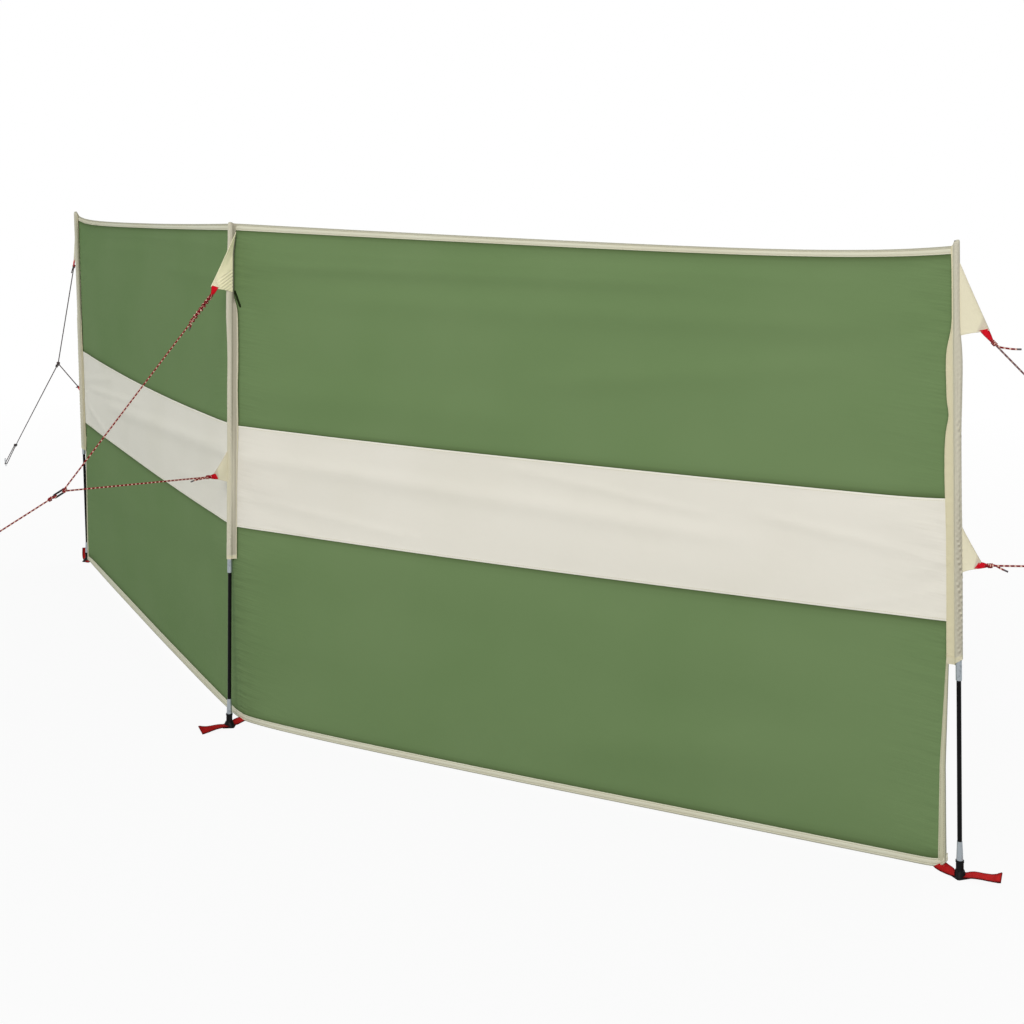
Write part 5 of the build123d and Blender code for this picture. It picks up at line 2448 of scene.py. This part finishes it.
    def line(self, draft: Draft) -> None:
        """Add the guy line from the link, round the peg and back to the slider.

        Args:
            draft: Draft that it is added to.
        """
        layout = self.layout
        way, aside, ring = layout.way, layout.stand.aside, layout.ring
        bar = layout.link + way * layout.link_bar
        self.wrap_bar(draft, bar)
        self.tube(draft, self.wraps(bar + way * 0.008, way, 2.0, self.radius * 1.8, 0.008))
        reach = self.slider_distance + self.slider_length / 2 + 0.02
        route = [bar + way * 0.004, ring - way * reach, ring - way * 0.02 - aside * self.ring_radius]
        route += [
            ring + (way * math.sin(turn) - aside * math.cos(turn)) * self.ring_radius
            for turn in np.linspace(0, math.pi, 13)
        ]
        route += [ring - way * 0.02 + aside * self.ring_radius, ring - way * reach + aside * self.ring_radius]
        self.tube(draft, route, bare_end=0.006)
        knot = ring - way * (reach - 0.011) + aside * self.ring_radius
        self.tube(draft, self.wraps(knot, way, 2.0, self.radius * 1.5, 0.007))

    def build(self) -> Object:
        """The whole cord of the pole as one piece.

        Returns:
            The cord.
        """
        draft = Draft()
        for corner in Corner:
            self.leg(corner, draft)
        self.line(draft)
        name = f"{self.layout.stand.pole.value}_guy"
        finish = self.wardrobe["grey_cord"] if self.layout.stand.pole is Pole.LEFT else self.wardrobe["cord"]
        piece = draft.finish(f"{name}_cord", finish)
        return attach(piece, "guy_cord", name)


# Hard pieces and the studio


def dress_hardware(wardrobe: Wardrobe) -> None:
    """Give the poles, feet, links, sliders and pegs their finishes.

    Args:
        wardrobe: All finishes by use.
    """
    finishes = {
        "pole_rods": wardrobe["pole"], "pole_ferrules": wardrobe["ferrule"], "foot": wardrobe["foot"],
        "guy_link": wardrobe["link"], "guy_slider": wardrobe["link"], "peg": wardrobe["peg"],
    }
    for pole in Pole:
        for kind, material in finishes.items():
            node = frame["nodes"][f"{pole.value}_{kind}"]
            node.data.materials.clear()
            node.data.materials.append(material)
            log.info("dressed %s", node.name)


@dataclass
class Studio:
    """Camera, lights, floor and white surroundings."""

    eye: tuple[float, float, float] = (3.2072, -2.2086, 1.4202)
    heading: float = 44.642
    pitch: float = 1.02
    lens: float = 51.724
    shift: float = -0.3536

    def build_camera(self) -> None:
        """Set up the camera at the photograph's viewing angle."""
        data = bpy.data.cameras.new("view")
        data.lens = self.lens
        data.sensor_width = 36.0
        data.shift_y = self.shift
        data.clip_end = 200.0
        camera = bpy.data.objects.new("view", data)
        camera.location = self.eye
        camera.rotation_euler = (math.radians(90 + self.pitch), 0.0, math.radians(self.heading))
        bpy.context.scene.collection.objects.link(camera)
        bpy.context.scene.camera = camera

    @staticmethod
    def add_panel(
        name: str, place: Sequence[float], target: Sequence[float], size: float, power: float, colour: Colour
    ) -> None:
        """Add a large soft light that faces a point.

        Args:
            name: Name of the light.
            place: Where it hangs.
            target: Point that it faces.
            size: Side of the square panel.
            power: Watts.
            colour: Colour of the light.
        """
        data = bpy.data.lights.new(name, "AREA")
        data.shape = "SQUARE"
        data.size = size
        data.energy = power
        data.color = colour
        light = bpy.data.objects.new(name, data)
        light.location = place
        towards = Vector(target) - Vector(place)
        light.rotation_euler = towards.to_track_quat("-Z", "Y").to_euler()
        bpy.context.scene.collection.objects.link(light)

    def build_lights(self) -> None:
        """Hang the soft panels: a key by the camera, a fill and one over the back."""
        warm, cool, plain = (1.0, 0.96, 0.945), (0.93, 1.0, 1.0), (1.0, 1.0, 1.0)
        heart, aside = (0.0, 0.2, 0.6), (-0.5, 0.2, 0.6)
        self.add_panel("key_panel", (4.2, -5.0, 4.2), heart, 2.4, 296.0, warm)
        self.add_panel("fill_panel", (-4.5, -3.5, 3.2), aside, 3.5, 70.0, cool)
        self.add_panel("back_panel", (0.5, 5.0, 4.5), heart, 4.0, 120.0, plain)

    @staticmethod
    def shown(wiring: Wiring) -> NodeSocket:
        """Mask of the rays that reach the eye straight, in a mirror or through glass.

        Args:
            wiring: Wiring of the world or a material.

        Returns:
            The mask's socket.
        """
        path = wiring.node("ShaderNodeLightPath").outputs
        shows = wiring.math("MAXIMUM", path["Is Camera Ray"], path["Is Glossy Ray"])
        return wiring.math("MAXIMUM", shows, path["Is Transmission Ray"])

    @staticmethod
    def put_out(wiring: Wiring, output: str, share: NodeSocket, hidden: Node, seen: Node) -> None:
        """Mix two shaders on the output.

        Args:
            wiring: Wiring of the world or a material.
            output: Blender's name of the output node.
            share: Share of the second shader.
            hidden: Shader that lights the object.
            seen: Shader that the eye sees.
        """
        mixed = wiring.node("ShaderNodeMixShader")
        for socket, value in zip(mixed.inputs, (share, hidden.outputs[0], seen.outputs[0])):
            wiring.feed(socket, value)
        wiring.feed(wiring.node(output).inputs["Surface"], mixed.outputs[0])

    def build_world(self) -> None:
        """White surroundings that light the object at a plain level."""
        world = bpy.data.worlds.new("white_room")
        bpy.context.scene.world = world
        world.use_nodes = True
        wiring = Wiring(world.node_tree)
        seen = wiring.fill(wiring.node("ShaderNodeBackground"), {"Color": (1.0, 1.0, 1.0, 1.0)})
        light = {"Color": (0.955, 1.0, 0.99, 1.0), "Strength": 0.595}
        lit = wiring.fill(wiring.node("ShaderNodeBackground"), light)
        self.put_out(wiring, "ShaderNodeOutputWorld", self.shown(wiring), lit, seen)

    def build_floor(self) -> None:
        """A wide white floor that keeps a faint shadow of the object."""
        mesh = bpy.data.meshes.new("floor")
        reach, level = 60.0, -0.0005
        ways = ((-1, -1), (1, -1), (1, 1), (-1, 1))
        mesh.from_pydata([(x * reach, y * reach, level) for x, y in ways], [], [(0, 1, 2, 3)])
        material = bpy.data.materials.new("white_floor")
        material.use_nodes = True
        wiring = Wiring(material.node_tree)
        matt = wiring.fill(wiring.node("ShaderNodeBsdfDiffuse"), {"Color": (0.5, 0.5, 0.5, 1.0)})
        glow = wiring.fill(wiring.node("ShaderNodeEmission"), {"Color": (1.0, 1.0, 1.0, 1.0)})
        away = wiring.node("ShaderNodeVectorMath", operation="LENGTH")
        wiring.feed(away.inputs[0], wiring.place())
        fade = wiring.spread(away.outputs["Value"], 2.0, 6.0, 0.93, 1.0)
        share = wiring.math("MULTIPLY", self.shown(wiring), fade)
        self.put_out(wiring, "ShaderNodeOutputMaterial", share, matt, glow)
        mesh.materials.append(material)
        floor = bpy.data.objects.new("floor", mesh)
        bpy.context.scene.collection.objects.link(floor)

    def build(self) -> None:
        """Set up the whole studio."""
        bpy.context.scene.view_settings.view_transform = "Standard"
        self.build_camera()
        self.build_lights()
        self.build_world()
        self.build_floor()


def main() -> None:
    """Build every piece in order."""
    logging.basicConfig(level=logging.INFO, format="%(message)s")
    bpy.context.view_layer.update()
    Studio().build()
    effects = Effects()
    wardrobe = {use: finish.make(effects) for use, finish in FINISHES.items()}
    needle = StitchTree()
    stands = {pole: Stand.from_frame(pole) for pole in Pole}
    middle = stands[Pole.MIDDLE]
    surfaces = {bay: BaySurface.from_frame(bay, middle, stands[Pole(bay.value)]) for bay in Bay}
    for surface in surfaces.values():
        BayCloth(surface, wardrobe, needle).build()
    for pole, stand in stands.items():
        layout = GuyLayout(stand, surfaces[Bay.LEFT].pole_top)
        GuyLine(layout, wardrobe).build()
        bays = [surface for bay, surface in surfaces.items() if pole.value in ("middle", bay.value)]
        PoleSleeve(stand, bays, layout, wardrobe, needle).build()
        FootStrap(stand, wardrobe, needle).build()
    dress_hardware(wardrobe)


if __name__ == "__main__":
    main()
